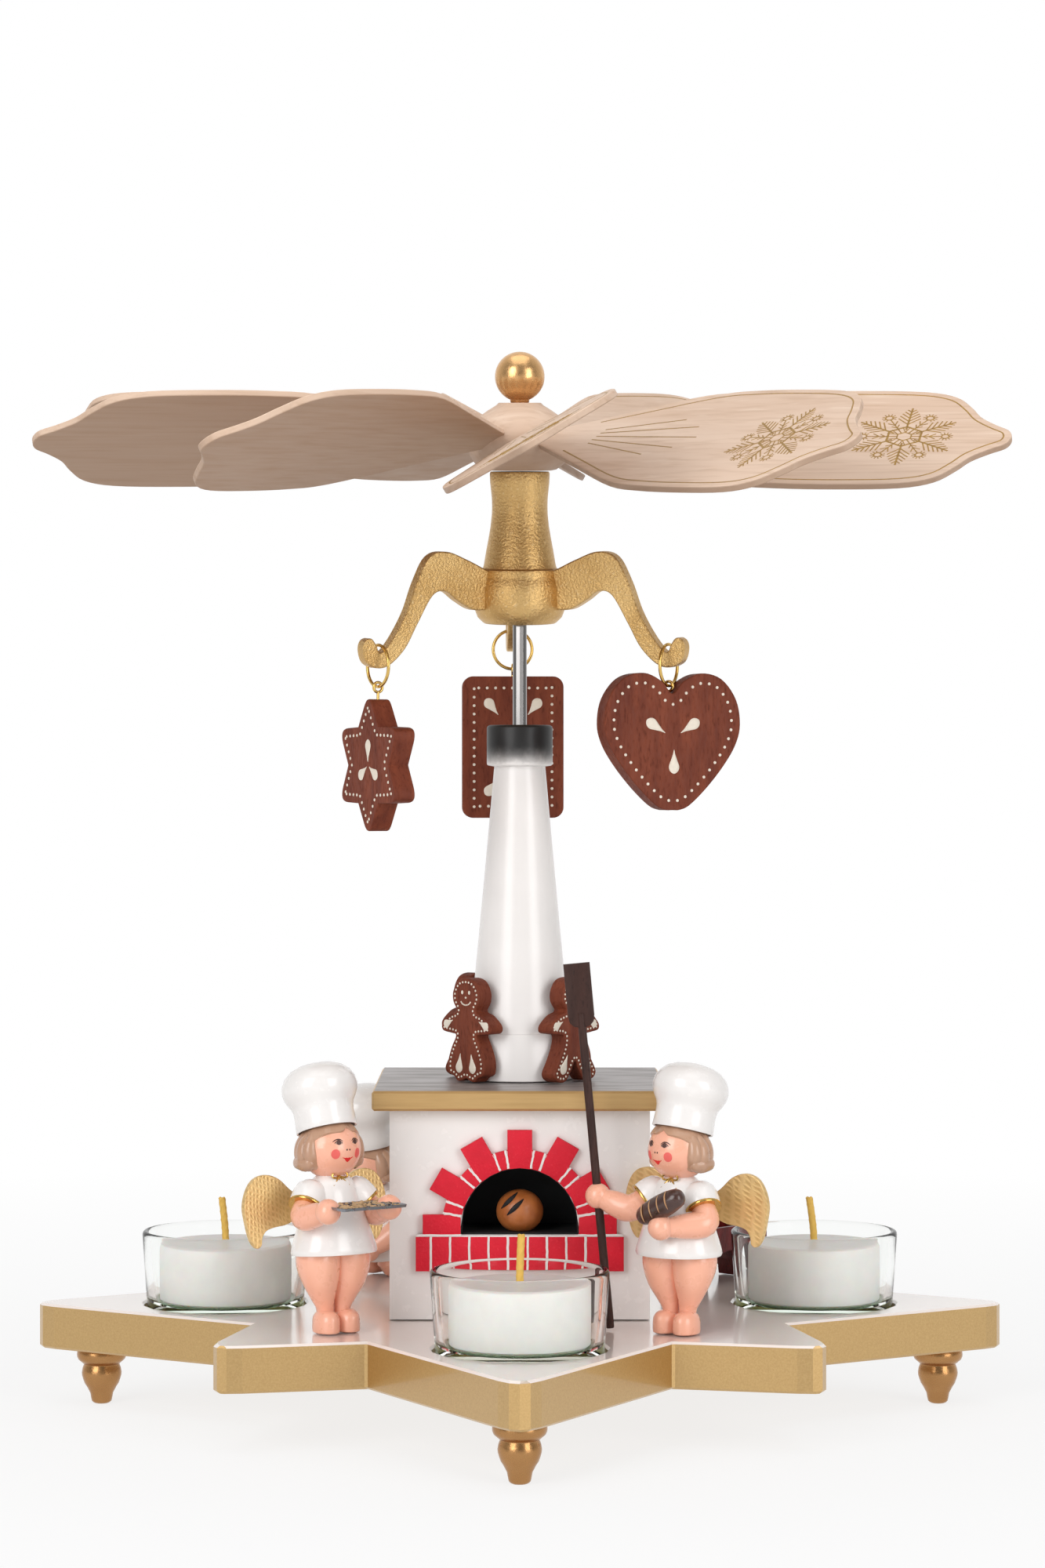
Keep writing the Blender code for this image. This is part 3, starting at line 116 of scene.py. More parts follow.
class Paint(Nodes):
    """A Principled material; more sockets are given by name, with _ for each space."""

    def __init__(self, name, colour, roughness, metallic=0.0, **sockets):
        self.material = bpy.data.materials.new(name)
        self.material.use_nodes = True
        super().__init__(self.material.node_tree)
        self.shader = self.tree.nodes["Principled BSDF"]
        self.place = None
        sockets.update(Base_Color=(*colour, 1), Roughness=roughness, Metallic=metallic)
        for socket, value in sockets.items():
            self.shader.inputs[socket.replace("_", " ")].default_value = value

    def where(self, stretch=(1, 1, 1), turned=(0, 0, 0)):
        """The place on the object, in metres, stretched and turned."""
        if self.place is None:
            self.place = self.node("ShaderNodeTexCoord").outputs["Object"]
        mapping = self.node("ShaderNodeMapping", vector_type="TEXTURE")
        self.feed(mapping.inputs["Vector"], self.place)
        mapping.inputs["Rotation"].default_value = turned
        mapping.inputs["Scale"].default_value = [1 / share for share in stretch]
        return mapping.outputs["Vector"]

    def noise(self, scale, detail, stretch=(1, 1, 1), turned=(0, 0, 0), distortion=0.0):
        made = self.node("ShaderNodeTexNoise")
        self.feed(made.inputs["Vector"], self.where(stretch, turned))
        made.inputs["Scale"].default_value = scale
        made.inputs["Detail"].default_value = detail
        made.inputs["Distortion"].default_value = distortion
        return made.outputs["Fac"]

    def waves(self, scale, direction, distortion, turned):
        made = self.node("ShaderNodeTexWave", bands_direction=direction)
        self.feed(made.inputs["Vector"], self.where(turned=turned))
        made.inputs["Scale"].default_value = scale
        made.inputs["Distortion"].default_value = distortion
        return made.outputs["Fac"]

    def axis(self, name):
        """One coordinate of the place, or of the surface's direction when the name starts with N."""
        parts = self.node("ShaderNodeSeparateXYZ")
        if name[0] == "N":
            self.feed(parts.inputs[0], self.node("ShaderNodeTexCoord").outputs["Normal"])
        else:
            self.feed(parts.inputs[0], self.where())
        return parts.outputs[name[-1]]

    def mix(self, share, a, b):
        made = self.node("ShaderNodeMix", data_type="RGBA")
        self.feed(made.inputs["Factor"], share)
        for socket, value in ((made.inputs[6], a), (made.inputs[7], b)):
            self.feed(socket, value if isinstance(value, bpy.types.NodeSocket) else (*value, 1))
        return made.outputs[2]

    def colour(self, value):
        self.feed(self.shader.inputs["Base Color"], value)
        return self

    def rough(self, value):
        self.feed(self.shader.inputs["Roughness"], value)
        return self

    def rough_by(self, noise, low, high):
        """Roughness from low to high by a noise, whose values lie round a half."""
        return self.rough(self.span(noise, 0.3, 0.7, low, high))

    def bump(self, height, strength, distance):
        made = self.node("ShaderNodeBump")
        made.inputs["Strength"].default_value = strength
        made.inputs["Distance"].default_value = distance
        self.feed(made.inputs["Height"], height)
        self.feed(self.shader.inputs["Normal"], made.outputs["Normal"])
        return self


def darker(colour, share):
    return tuple(value * share for value in colour)


def mottled(name, light, dark, roughness, cloud, skin, edge=(0, 1), metallic=0.0, **sockets):
    """Two shades in clouds under a skin of fine bumps.

    cloud is the noise's scale and detail, edge the values where it is all light and all dark,
    and skin the bumps' scale, detail, strength and depth.
    """
    paint = Paint(name, light, roughness, metallic, **sockets)
    paint.colour(paint.mix(paint.span(paint.noise(*cloud), *edge), light, dark))
    scale, detail, strength, depth = skin
    return paint.bump(paint.noise(scale, detail), strength, depth)


def gold_paint():
    """Satin gold paint with the fine grit of its metal flakes."""
    paint = Paint("gold_paint", (0.56, 0.36, 0.14), 0.4, 0.95)
    grit = paint.noise(1500, 4)
    cloud = paint.noise(90, 2)
    worn = paint.mix(paint.span(cloud, 0.35, 0.7), (0.65, 0.43, 0.18), (0.53, 0.325, 0.12))
    paint.colour(paint.mix(paint.span(grit, 0.58, 0.74), worn, (0.76, 0.56, 0.29)))
    paint.rough_by(grit, 0.3, 0.46)
    return paint.bump(grit, 0.55, 0.0004)


def copper_gold(name, light, dark):
    """The warmer, smoother gold of the turned feet and the ball."""
    paint = mottled(name, light, dark, 0.3, (160, 3), (1400, 3, 0.18, 0.0002), metallic=0.95)
    return paint.rough_by(paint.noise(900, 3), 0.22, 0.34)


def board_lacquer():
    """The base: pinkish ivory gloss on top, gold on its sides."""
    paint = Paint("board_lacquer", (0.85, 0.78, 0.74), 0.2, Coat_Weight=0.6, Coat_Roughness=0.08)
    level = paint.span(paint.axis("NZ"), 0.45, 0.55)
    cloud = paint.noise(60, 3)
    ivory = paint.mix(cloud, (0.85, 0.75, 0.695), (0.88, 0.795, 0.75))
    grit = paint.noise(2200, 4)
    gold = paint.mix(grit, (0.64, 0.43, 0.185), (0.46, 0.285, 0.105))
    paint.colour(paint.mix(level, gold, ivory))
    paint.feed(paint.shader.inputs["Metallic"], paint.span(level, 0, 1, 0.9, 0.0))
    paint.rough(paint.span(level, 0, 1, 0.38, 0.16))
    return paint.bump(grit, 0.12, 0.0002)


def lacquer(name, colour, shade, roughness=0.22):
    """Brushed-on lacquer with a slightly uneven skin."""
    paint = mottled(name, colour, shade, roughness, (70, 3), (500, 3, 0.06, 0.0004), (0.3, 0.7),
                    Coat_Weight=0.5, Coat_Roughness=0.12)
    return paint.rough_by(paint.noise(400, 2), roughness * 0.85, roughness * 1.3)


def maple(name="bare_maple", angle=0.0):
    """Pale bare wood with painted shade on its underside, its fine grain along the wing."""
    paint = Paint(name, (0.72, 0.52, 0.39), 0.55)
    turned = (0, 0, angle)
    band = paint.noise(55, 4, stretch=(0.16, 1, 1), turned=turned, distortion=0.6)
    pore = paint.noise(700, 3, stretch=(0.05, 1, 1), turned=turned)
    fleck = paint.noise(420, 2, stretch=(0.12, 1, 1), turned=turned)
    ground = paint.mix(paint.span(band, 0.32, 0.68), (0.76, 0.575, 0.445), (0.66, 0.47, 0.345))
    ground = paint.mix(paint.span(pore, 0.5, 0.72, 0, 0.45), ground, (0.52, 0.34, 0.225))
    ground = paint.mix(paint.span(fleck, 0.6, 0.75, 0, 0.35), ground, (0.86, 0.71, 0.585))
    # Painted shade: faces that turn downwards get a darker copy of the wood, standing in for the shade under
    # the wings
    painted_underside_shade = paint.mix(0.78, ground, (0.34, 0.215, 0.14))
    paint.colour(paint.mix(paint.span(paint.axis("NZ"), -0.5, 0.5), painted_underside_shade, ground))
    paint.rough_by(pore, 0.5, 0.68)
    return paint.bump(pore, 0.2, 0.0002)


def stained(name, light, dark, roughness):
    """Stained wood with its grain and pores showing through."""
    paint = Paint(name, light, roughness, Specular_IOR_Level=0.28)
    grain = paint.noise(300, 4, stretch=(1, 1, 0.22), distortion=0.4)
    pore = paint.noise(1500, 3, stretch=(1, 1, 0.3))
    ground = paint.mix(paint.span(grain, 0.3, 0.7), light, dark)
    paint.colour(paint.mix(paint.span(pore, 0.56, 0.72, 0, 0.6), ground, darker(dark, 0.5)))
    paint.rough_by(pore, roughness * 0.85, roughness * 1.2)
    return paint.bump(pore, 0.3, 0.0003)


def brick():
    """Matt red paint over slightly rough tiles."""
    paint = Paint("brick_red", (0.68, 0.010, 0.028), 0.6, Specular_IOR_Level=0.3)
    grit = paint.noise(1500, 4)
    cloud = paint.noise(120, 3)
    ground = paint.mix(paint.span(cloud, 0.3, 0.7), (0.74, 0.012, 0.034), (0.62, 0.010, 0.028))
    paint.colour(paint.mix(paint.span(grit, 0.6, 0.75, 0, 0.5), ground, (0.85, 0.05, 0.08)))
    return paint.bump(grit, 0.4, 0.0004)


def metal(name, colour, roughness, uneven=0.35):
    """Drawn metal with faint lines from its die."""
    paint = Paint(name, colour, roughness, 1.0)
    line = paint.noise(800, 3, stretch=(1, 1, 0.15))
    paint.colour(paint.mix(line, colour, darker(colour, 0.82)))
    return paint.rough_by(line, roughness * (1 - uneven), roughness * (1 + uneven))


def clear_glass():
    """Clear pressed glass, faintly green where its foot is thick."""
    paint = Paint("glass", (0.99, 1.0, 0.99), 0.0, Transmission_Weight=1.0, IOR=1.16)
    foot = paint.span(paint.axis("Z"), 0.0258, 0.0284)
    paint.colour(paint.mix(foot, (0.52, 0.74, 0.52), (0.99, 1.0, 0.99)))
    return paint.bump(paint.noise(90, 2), 0.04, 0.0004)


def candle_wax():
    return mottled("wax", (0.74, 0.725, 0.70), (0.66, 0.65, 0.63), 0.42, (300, 3), (220, 3, 0.2, 0.0006),
                   Subsurface_Weight=0.35, Subsurface_Scale=0.004)


def baked():
    """A glossy crust."""
    return mottled("baked_bread", (0.52, 0.17, 0.045), (0.38, 0.11, 0.024), 0.42, (260, 4),
                   (900, 3, 0.25, 0.0004), (0.3, 0.7), Coat_Weight=0.25, Coat_Roughness=0.2)


def flat(name, colour, roughness=0.45):
    """Hand-laid paint in one colour, slightly uneven."""
    return mottled(name, colour, darker(colour, 0.86), roughness, (900, 2), (900, 2, 0.08, 0.0002))


def woven_gold():
    """Gold paint over a board pressed with a fine cloth."""
    paint = Paint("woven_gold", (0.60, 0.41, 0.15), 0.4, 0.8)
    grit = paint.noise(1800, 3)
    across = paint.waves(290, "X", 3.2, (0, 0, 0.6))
    up = paint.waves(250, "Z", 3.2, (0, 0.5, 0))
    cloth = paint.math("MAXIMUM", across, up)
    paint.colour(paint.mix(paint.span(cloth, 0.3, 0.9), (0.66, 0.445, 0.19), (0.76, 0.53, 0.245)))
    paint.rough_by(grit, 0.34, 0.5)
    return paint.bump(cloth, 0.28, 0.0002)


def print_gold():
    """Printed gold ink with a little of the grain under it."""
    return mottled("print_gold", (0.40, 0.225, 0.038), (0.29, 0.15, 0.022), 0.42, (900, 3),
                   (900, 3, 0.1, 0.0001), (0.35, 0.7), metallic=0.35)


def oven_roof():
    """Silver-grey paint on the oven's top, brushed gold on its edges."""
    paint = Paint("oven_roof", (0.34, 0.33, 0.35), 0.4, 0.5)
    level = paint.span(paint.axis("NZ"), 0.75, 0.95)
    streak = paint.noise(900, 3, stretch=(0.06, 0.06, 1))
    cloud = paint.noise(260, 4, stretch=(0.25, 1, 1))
    grey = paint.mix(paint.span(cloud, 0.35, 0.65), (0.47, 0.44, 0.44), (0.24, 0.215, 0.20))
    gold = paint.mix(streak, (0.68, 0.45, 0.20), (0.47, 0.285, 0.105))
    paint.colour(paint.mix(level, gold, grey))
    paint.rough(paint.span(level, 0, 1, 0.36, 0.42))
    return paint.bump(streak, 0.25, 0.0002)


def chimney_paint():
    """White lacquer that turns to soot on the mouth's upper part."""
    paint = Paint("chimney", WHITES[0], 0.3, Coat_Weight=0.12, Coat_Roughness=0.2)
    cloud = paint.noise(420, 3)
    height = paint.math("ADD", paint.axis("Z"), paint.math("MULTIPLY", cloud, 0.0016))
    clear = paint.span(height, 0.1733, 0.1794, 1.0, 0.0)
    soot = paint.math("SUBTRACT", 1.0, paint.math("POWER", clear, 3.0))
    clean = paint.mix(paint.span(paint.noise(70, 3), 0.3, 0.7), *WHITES)
    paint.colour(paint.mix(soot, clean, (0.004, 0.0035, 0.0035)))
    paint.rough(paint.span(soot, 0, 1, 0.26, 0.5))
    return paint.bump(paint.noise(500, 3), 0.06, 0.0004)


WHITES = ((0.88, 0.85, 0.83), (0.84, 0.81, 0.79))

# Each paint, and the record's material slot that it stands for
PAINT_ROWS = [
    ("gold_paint", gold_paint(), "gold_paint"),
    ("copper_gold", copper_gold("copper_gold", (0.50, 0.27, 0.11), (0.37, 0.185, 0.07)), "gold_paint"),
    ("ball_gold", copper_gold("ball_gold", (0.78, 0.47, 0.21), (0.62, 0.355, 0.15)), "gold_paint"),
    ("bright_gold", metal("bright_gold", (0.72, 0.45, 0.13), 0.24), "gold_paint"),
    ("woven_gold", woven_gold(), "gold_paint"),
    ("board", board_lacquer(), "ivory_lacquer"),
    ("white_lacquer", lacquer("white_lacquer", *WHITES), "white_lacquer"),
    ("chimney", chimney_paint(), "white_lacquer"),
    ("bare_maple", maple(), "bare_maple"),
    ("brown_stain", stained("brown_stain", (0.215, 0.048, 0.020), (0.135, 0.026, 0.011), 0.62),
     "brown_stain"),
    ("dark_wood", stained("dark_wood", (0.055, 0.022, 0.016), (0.03, 0.012, 0.009), 0.5), "dark_wood"),
    ("chocolate", lacquer("chocolate", (0.045, 0.014, 0.009), (0.07, 0.024, 0.015), 0.28), "dark_wood"),
    ("dark_red_wood", stained("dark_red_wood", (0.16, 0.012, 0.01), (0.09, 0.006, 0.005), 0.4),
     "dark_red_wood"),
    ("brick_red", brick(), "brick_red"),
    ("skin_paint", lacquer("skin_paint", (0.93, 0.47, 0.325), (0.91, 0.435, 0.295), 0.28), "skin_paint"),
    ("steel", metal("steel", (0.25, 0.24, 0.235), 0.12, 0.1), "steel"),
    ("tin", metal("tin", (0.30, 0.31, 0.34), 0.32), "steel"),
    ("brass", metal("brass", (0.78, 0.52, 0.16), 0.2), "brass"),
    ("glass", clear_glass(), "glass"),
    ("wax", candle_wax(), "wax"),
    ("baked_bread", baked(), "baked_bread"),
    ("hair_paint", lacquer("hair_paint", (0.53, 0.31, 0.20), (0.45, 0.255, 0.16), 0.3), None),
    ("eye_white", flat("eye_white", (0.42, 0.27, 0.22)), None),
    ("eye_brown", flat("eye_brown", (0.075, 0.024, 0.016)), None),
    ("cheek_red", flat("cheek_red", (0.88, 0.14, 0.12), 0.4), None),
    ("lip_red", flat("lip_red", (0.80, 0.02, 0.02), 0.3), None),
    ("crumbs", flat("crumbs", (0.60, 0.40, 0.22), 0.7), None),
    ("pale_crust", flat("pale_crust", (0.50, 0.27, 0.13)), None),
    ("cream_dots", flat("cream_dots", (0.86, 0.78, 0.66), 0.45), None),
    ("print_gold", print_gold(), None),
    ("mortar", flat("mortar", (0.86, 0.84, 0.82), 0.6), None),
    ("soot", flat("soot", (0.006, 0.006, 0.007), 0.7), None),
    ("oven_roof", oven_roof(), None),
    ("wick", flat("wick", (0.80, 0.50, 0.10), 0.7), None),
]
PAINTS = {name: paint.material for name, paint, slot in PAINT_ROWS}

# The paint that each node of the frame wears, by the start of its name; the longest start counts
DRESS = {
    "base_board": "board",
    "foot": "copper_gold",
    "glass": "glass",
    "candle": "wax",
    "oven_body": "white_lacquer",
    "oven_top_board": "oven_roof",
    "brick_arch": "brick_red",
    "bread_bun": "baked_bread",
    "chimney": "white_lacquer",
    "spindle_bearing": "brass",
    "spindle": "steel",
    "spinner_vase": "gold_paint",
    "arm": "gold_paint",
    "wing": "bare_maple",
    "top_ball": "ball_gold",
    "ring": "brass",
    "screw_eye": "brass",
    "biscuit": "brown_stain",
    "gingerbread": "brown_stain",
    "baker": "skin_paint",
    "bread_peel": "dark_wood",
    "kneading_trough": "dark_red_wood",
}
for name, node in NODES.items():
    start = max((key for key in DRESS if name.startswith(key)), key=len)
    for holder in node.material_slots:
        holder.material = PAINTS[DRESS[start]]




# Shapes, each a list of points and a list of faces
def at(x=0.0, y=0.0, z=0.0):
    return Matrix.Translation((x, y, z))


def turn(degrees, axis="Z"):
    return Matrix.Rotation(math.radians(degrees), 4, axis)


def stretched(x, y=1.0, z=1.0):
    return Matrix.Diagonal((x, y, z, 1))


def moved(shape, matrix):
    return [tuple(matrix @ Vector(point)) for point in shape[0]], shape[1]


def gathered(shapes):
    """Several shapes as one."""
    points, faces = [], []
    for part_points, part_faces in shapes:
        start = len(points)
        points += part_points
        faces += [tuple(start + corner for corner in face) for face in part_faces]
    return points, faces


def ring_of(count):
    """The cosine and sine of each step round a full circle."""
    return [(math.cos(math.tau * step / count), math.sin(math.tau * step / count)) for step in range(count)]


def arc(radius, start, end, steps):
    """Points on a circle round the origin from one angle to another, in degrees."""
    angles = [math.radians(start + (end - start) * step / steps) for step in range(steps + 1)]
    return [(radius * math.cos(angle), radius * math.sin(angle)) for angle in angles]


def rounded_box(half_x, half_y, radius, steps):
    """The outline of a box with round corners."""
    result = []
    for start, x, y in ((0, 1, 1), (90, -1, 1), (180, -1, -1), (270, 1, -1)):
        result += [(x * (half_x - radius) + across, y * (half_y - radius) + up)
                   for across, up in arc(radius, start, start + 90, steps)]
    return result


def woven(loops, closed=False):
    """A skin over loops of points, capped unless it is closed; a loop of one point is a pole."""
    points, rows, faces = [], [], []
    for loop in loops:
        rows.append(range(len(points), len(points) + len(loop)))
        points += [tuple(point) for point in loop]
    pairs = list(zip(rows, rows[1:])) + ([(rows[-1], rows[0])] if closed else [])
    for low, high in pairs:
        for step in range(max(len(low), len(high))):
            corners = [low[step % len(low)], low[(step + 1) % len(low)],
                       high[(step + 1) % len(high)], high[step % len(high)]]
            faces.append(tuple(dict.fromkeys(corners)))
    if not closed:
        faces += [tuple(row) for row in (rows[0], rows[-1]) if len(row) > 2]
    return points, faces


def turned(profile, steps):
    """A lathe-turned solid from its (radius, height) profile."""
    circle = ring_of(steps)
    loops = []
    for radius, height in profile:
        corners = circle[:1] if radius < 1e-7 else circle
        loops.append([(radius * x, radius * y, height) for x, y in corners])
    return woven(loops)


def curve_through(points, steps=4, closed=False):
    """A smooth line through the points, in two or three dimensions."""
    rows = [Vector(point) for point in points]
    count = len(rows)
    result = []
    for index in range(count if closed else count - 1):
        picks = range(index - 1, index + 3)
        a, b, c, d = (rows[pick % count if closed else min(max(pick, 0), count - 1)] for pick in picks)
        for step in range(steps):
            t = step / steps
            result.append(0.5 * (2 * b + (c - a) * t + (2 * a - 5 * b + 4 * c - d) * t * t
                                 + (3 * b - a - 3 * c + d) * t ** 3))
    if not closed:
        result.append(rows[-1])
    return result


def direction_at(rows, index, closed):
    """From the point before to the point after; at an open end, from or to the point itself."""
    before = rows[index - 1] if index or closed else rows[index]
    after = rows[(index + 1) % len(rows)] if index < len(rows) - 1 or closed else rows[index]
    return after - before


def tube(points, radii, steps, closed=False):
    """A round bar along the points; radii is one radius or one for each point."""
    rows = [Vector(point) for point in points]
    count = len(rows)
    radii = [radii] * count if isinstance(radii, float) else radii
    loops = []
    side = None
    for index, point in enumerate(rows):
        along = direction_at(rows, index, closed).normalized()
        if side is None:
            side = along.orthogonal().normalized()
        side = (side - along * side.dot(along)).normalized()
        up = along.cross(side)
        loops.append([point + radii[index] * (side * x + up * y) for x, y in ring_of(steps)])
    if not closed:
        loops = [[rows[0]]] + loops + [[rows[-1]]]
    return woven(loops, closed)


def rounded_bar(points, radii, steps):
    """A bar with domed ends, its radii flowing from one to the next."""
    line = curve_through([(*point, radius) for point, radius in zip(points, radii)], 5)
    path = [Vector(row[:3]) for row in line]
    sizes = [row[3] for row in line]
    start = (path[0] - path[1]).normalized()
    end = (path[-1] - path[-2]).normalized()
    dome = [(math.sin(angle), math.cos(angle)) for angle in (0.3, 0.7, 1.1)]
    first = [(path[0] + start * sizes[0] * c, sizes[0] * s) for s, c in dome]
    last = [(path[-1] + end * sizes[-1] * c, sizes[-1] * s) for s, c in reversed(dome)]
    rows = first + list(zip(path, sizes)) + last
    return tube([row[0] for row in rows], [row[1] for row in rows], steps)


def ball(radius, steps, stretch=(1, 1, 1)):
    half = steps // 2
    angles = [math.pi * step / half for step in range(half + 1)]
    profile = [(radius * math.sin(angle), -radius * math.cos(angle)) for angle in angles]
    return moved(turned(profile, steps), stretched(*stretch))


def shrunk(outline, inset):
    """The outline drawn in by a small distance."""
    count = len(outline)
    rows = [Vector(point[:2]) for point in outline]
    area = sum(rows[i - 1].x * rows[i].y - rows[i].x * rows[i - 1].y for i in range(count))
    sign = 1 if area > 0 else -1
    result = []
    for index, point in enumerate(rows):
        one = (point - rows[index - 1]).normalized()
        two = (rows[(index + 1) % count] - point).normalized()
        normal = Vector((-(one.y + two.y), one.x + two.x)) * sign
        if normal.length < 1e-6:
            normal = Vector((-one.y, one.x)) * sign
        normal.normalize()
        lean = max(0.5, normal.dot(Vector((-one.y, one.x)) * sign))
        result.append(point + normal * inset / lean)
    return result


def plate(outline, low, high, edge):
    """A flat board from low to high, its edges eased."""
    loops = []
    for inset, level in ((edge, low), (edge * 0.3, low + edge * 0.3), (0, low + edge), (0, high - edge),
                         (edge * 0.3, high - edge * 0.3), (edge, high)):
        loops.append([(*point, level) for point in shrunk(outline, inset)])
    return woven(loops)


def line_on(path, width, level, height=SHOW, closed=False):
    """A painted line on the plane at level, along a path in X and Y."""
    rows = [Vector(point[:2]) for point in path]
    loops = []
    for index, point in enumerate(rows):
        along = direction_at(rows, index, closed).normalized()
        side = Vector((-along.y, along.x)) * width / 2
        loops.append([(*(point - side), level), (*(point - side * 0.8), level + height),
                      (*(point + side * 0.8), level + height), (*(point + side), level)])
    return woven(loops, closed)


def dot_on(x, y, radius, level, height, stretch=1.0, angle=0.0):
    """A blob of paint with a domed top."""
    blob = turned([(0, 0), (radius, 0), (radius * 0.86, height * 0.7), (radius * 0.5, height * 0.95),
                   (0, height)], 14)
    return moved(blob, at(x, y, level) @ turn(angle) @ stretched(stretch))


def drop_on(tip, bulb, width, level, height):
    """A teardrop of paint from its tip to the far end of its bulb."""
    start, end = Vector(tip), Vector(bulb)
    along = end - start
    side = Vector((-along.y, along.x)).normalized() * width / 2
    shares = [(0, 0), (0.2, 0.22), (0.45, 0.6), (0.68, 0.96), (0.84, 0.88), (0.95, 0.5), (1, 0)]
    outline = [start + along * a + side * b for a, b in shares]
    outline += [start + along * a - side * b for a, b in reversed(shares[1:-1])]
    outline = curve_through(outline, 3, closed=True)
    middle = start + along * 0.65
    loops = [[(*(middle + (point - middle) * share), level + height * rise) for point in outline]
             for share, rise in ((1, 0), (0.85, 0.75), (0.5, 0.97))]
    return woven(loops + [[(*middle, level + height)]])


def along_outline(outline, inset, spacing):
    """Points spaced evenly inside a closed outline."""
    rows = shrunk(outline, inset)
    rows = rows + [rows[0]]
    lengths = [(b - a).length for a, b in zip(rows, rows[1:])]
    total = sum(lengths)
    count = max(3, round(total / spacing))
    result = []
    for number in range(count):
        reach = number * total / count
        index = 0
        while index < len(lengths) - 1 and reach > lengths[index]:
            reach -= lengths[index]
            index += 1
        result.append(rows[index].lerp(rows[index + 1], min(1, reach / max(lengths[index], 1e-9))))
    return result


def mirrored(points):
    """The half outline at +X, from top to bottom, closed with its mirror image."""
    return list(points) + [(-x, y) for x, y in reversed(points) if abs(x) > 1e-5]


def piece(name, shape, paint, body, place=None, sharp=38, replaces=None):
    """One mesh of the scene that rides on a body; sharp is the angle from which an edge shows."""
    points, faces = moved(shape, place) if place is not None else shape
    mesh = bpy.data.meshes.new(name)
    mesh.from_pydata(points, [], faces)
    work = bmesh.new()
    work.from_mesh(mesh)
    bmesh.ops.recalc_face_normals(work, faces=work.faces)
    work.to_mesh(mesh)
    work.free()
    mesh.materials.append(PAINTS[paint])
    mesh.shade_smooth()
    mesh.set_sharp_from_angle(angle=math.radians(sharp))
    thing = bpy.data.objects.new(name, mesh)
    bpy.context.scene.collection.objects.link(thing)
    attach(thing, body)
    if replaces:
        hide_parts(replaces)
    return thing


# The bakers, in shares of their height, each facing -Y
TALL = 0.0695
BAKERS = {
    "tray": {"spot": (-0.0475, -0.0540), "turn": 34, "head": 5, "bow": -4, "hat": -14},
    "peel": {"spot": (0.0406, -0.0560), "turn": -34, "head": -16, "bow": 0, "hat": -15},
    "back": {"spot": (-0.0370, 0.0550), "turn": -45, "head": -4, "bow": 18, "hat": -8},
}
HIP = 0.3 * TALL
KNEEL_DROP = 0.187 * TALL
HEAD = 0.113 * TALL
ARM_SHARES = {
    "tray": [((0.155, -0.04, 0.425), (0.13, -0.185, 0.452)),
             ((-0.155, -0.04, 0.425), (-0.13, -0.185, 0.452))],
    "peel": [((0.155, -0.05, 0.41), (0.03, -0.175, 0.405)),
             ((-0.165, -0.075, 0.445), None)],
    "back": [((0.155, -0.04, 0.41), (0.07, -0.175, 0.36)),
             ((-0.155, -0.04, 0.41), (-0.07, -0.175, 0.36))],
}
COAT = [(0, 0.592), (0.028, 0.592), (0.047, 0.582), (0.066, 0.569), (0.085, 0.55), (0.099, 0.52),
        (0.109, 0.485), (0.122, 0.44), (0.138, 0.39), (0.153, 0.345), (0.163, 0.312), (0.166, 0.296),
        (0.162, 0.287), (0.15, 0.285), (0, 0.285)]
HAT = [(0, 0.25), (0.035, 0.2485), (0.07, 0.242), (0.1, 0.229), (0.124, 0.208), (0.138, 0.182),
       (0.142, 0.158), (0.138, 0.134), (0.128, 0.112), (0.117, 0.094), (0.1125, 0.078), (0.1115, 0.06),
       (0.1125, 0.03), (0.1145, 0.003), (0.1125, 0), (0.106, 0.0015), (0.106, 0.06), (0, 0.07)]
LEG = [((0.055, 0.012, 0.325), 0.078), ((0.064, 0.006, 0.262), 0.083), ((0.058, 0.0, 0.2), 0.071),
       ((0.046, 0.003, 0.14), 0.05), ((0.037, 0.004, 0.095), 0.034), ((0.035, 0.004, 0.06), 0.031)]
KNEEL = [((0.06, 0.01, 0.15), 0.075), ((0.062, -0.06, 0.055), 0.052), ((0.058, 0.04, 0.045), 0.043),
         ((0.05, 0.15, 0.04), 0.038)]
SHOE = [(0, 0), (0.04, 0), (0.0465, 0.004), (0.048, 0.014), (0.0475, 0.045), (0.045, 0.06),
        (0.038, 0.072), (0.026, 0.08), (0, 0.084)]
FEATHER = [(0, 0.6), (0.2, 0.64), (0.4, 0.77), (0.58, 0.93), (0.78, 1), (0.97, 0.95), (1.09, 0.8),
           (1.15, 0.58), (1.12, 0.35), (1.06, 0.12), (0.97, 0), (0.89, 0.03), (0.87, 0.14),
           (0.8, 0.23), (0.66, 0.27), (0.5, 0.29), (0.33, 0.35), (0.16, 0.42), (0, 0.45)]
FEATHER_SIZE = 0.0185


def sized(shares, scale=TALL):
    return [(x * scale, y * scale) for x, y in shares]


def body_point(shares, side=1):
    return Vector((side * shares[0], shares[1], shares[2])) * TALL


def baker_at(name):
    facts = BAKERS[name]
    return at(*facts["spot"], BOARD_TOP + GAP) @ turn(facts["turn"])


def torso_at(name):
    drop = KNEEL_DROP if name == "back" else 0
    return baker_at(name) @ at(z=HIP - drop) @ turn(BAKERS[name]["bow"], "X") @ at(z=-HIP)


def head_at(name):
    return torso_at(name) @ at(z=0.672 * TALL) @ turn(BAKERS[name]["head"])


PEEL_AT = at(0.0232, -0.0505, BOARD_TOP + 2 * GAP) @ turn(-5.3, "Y")


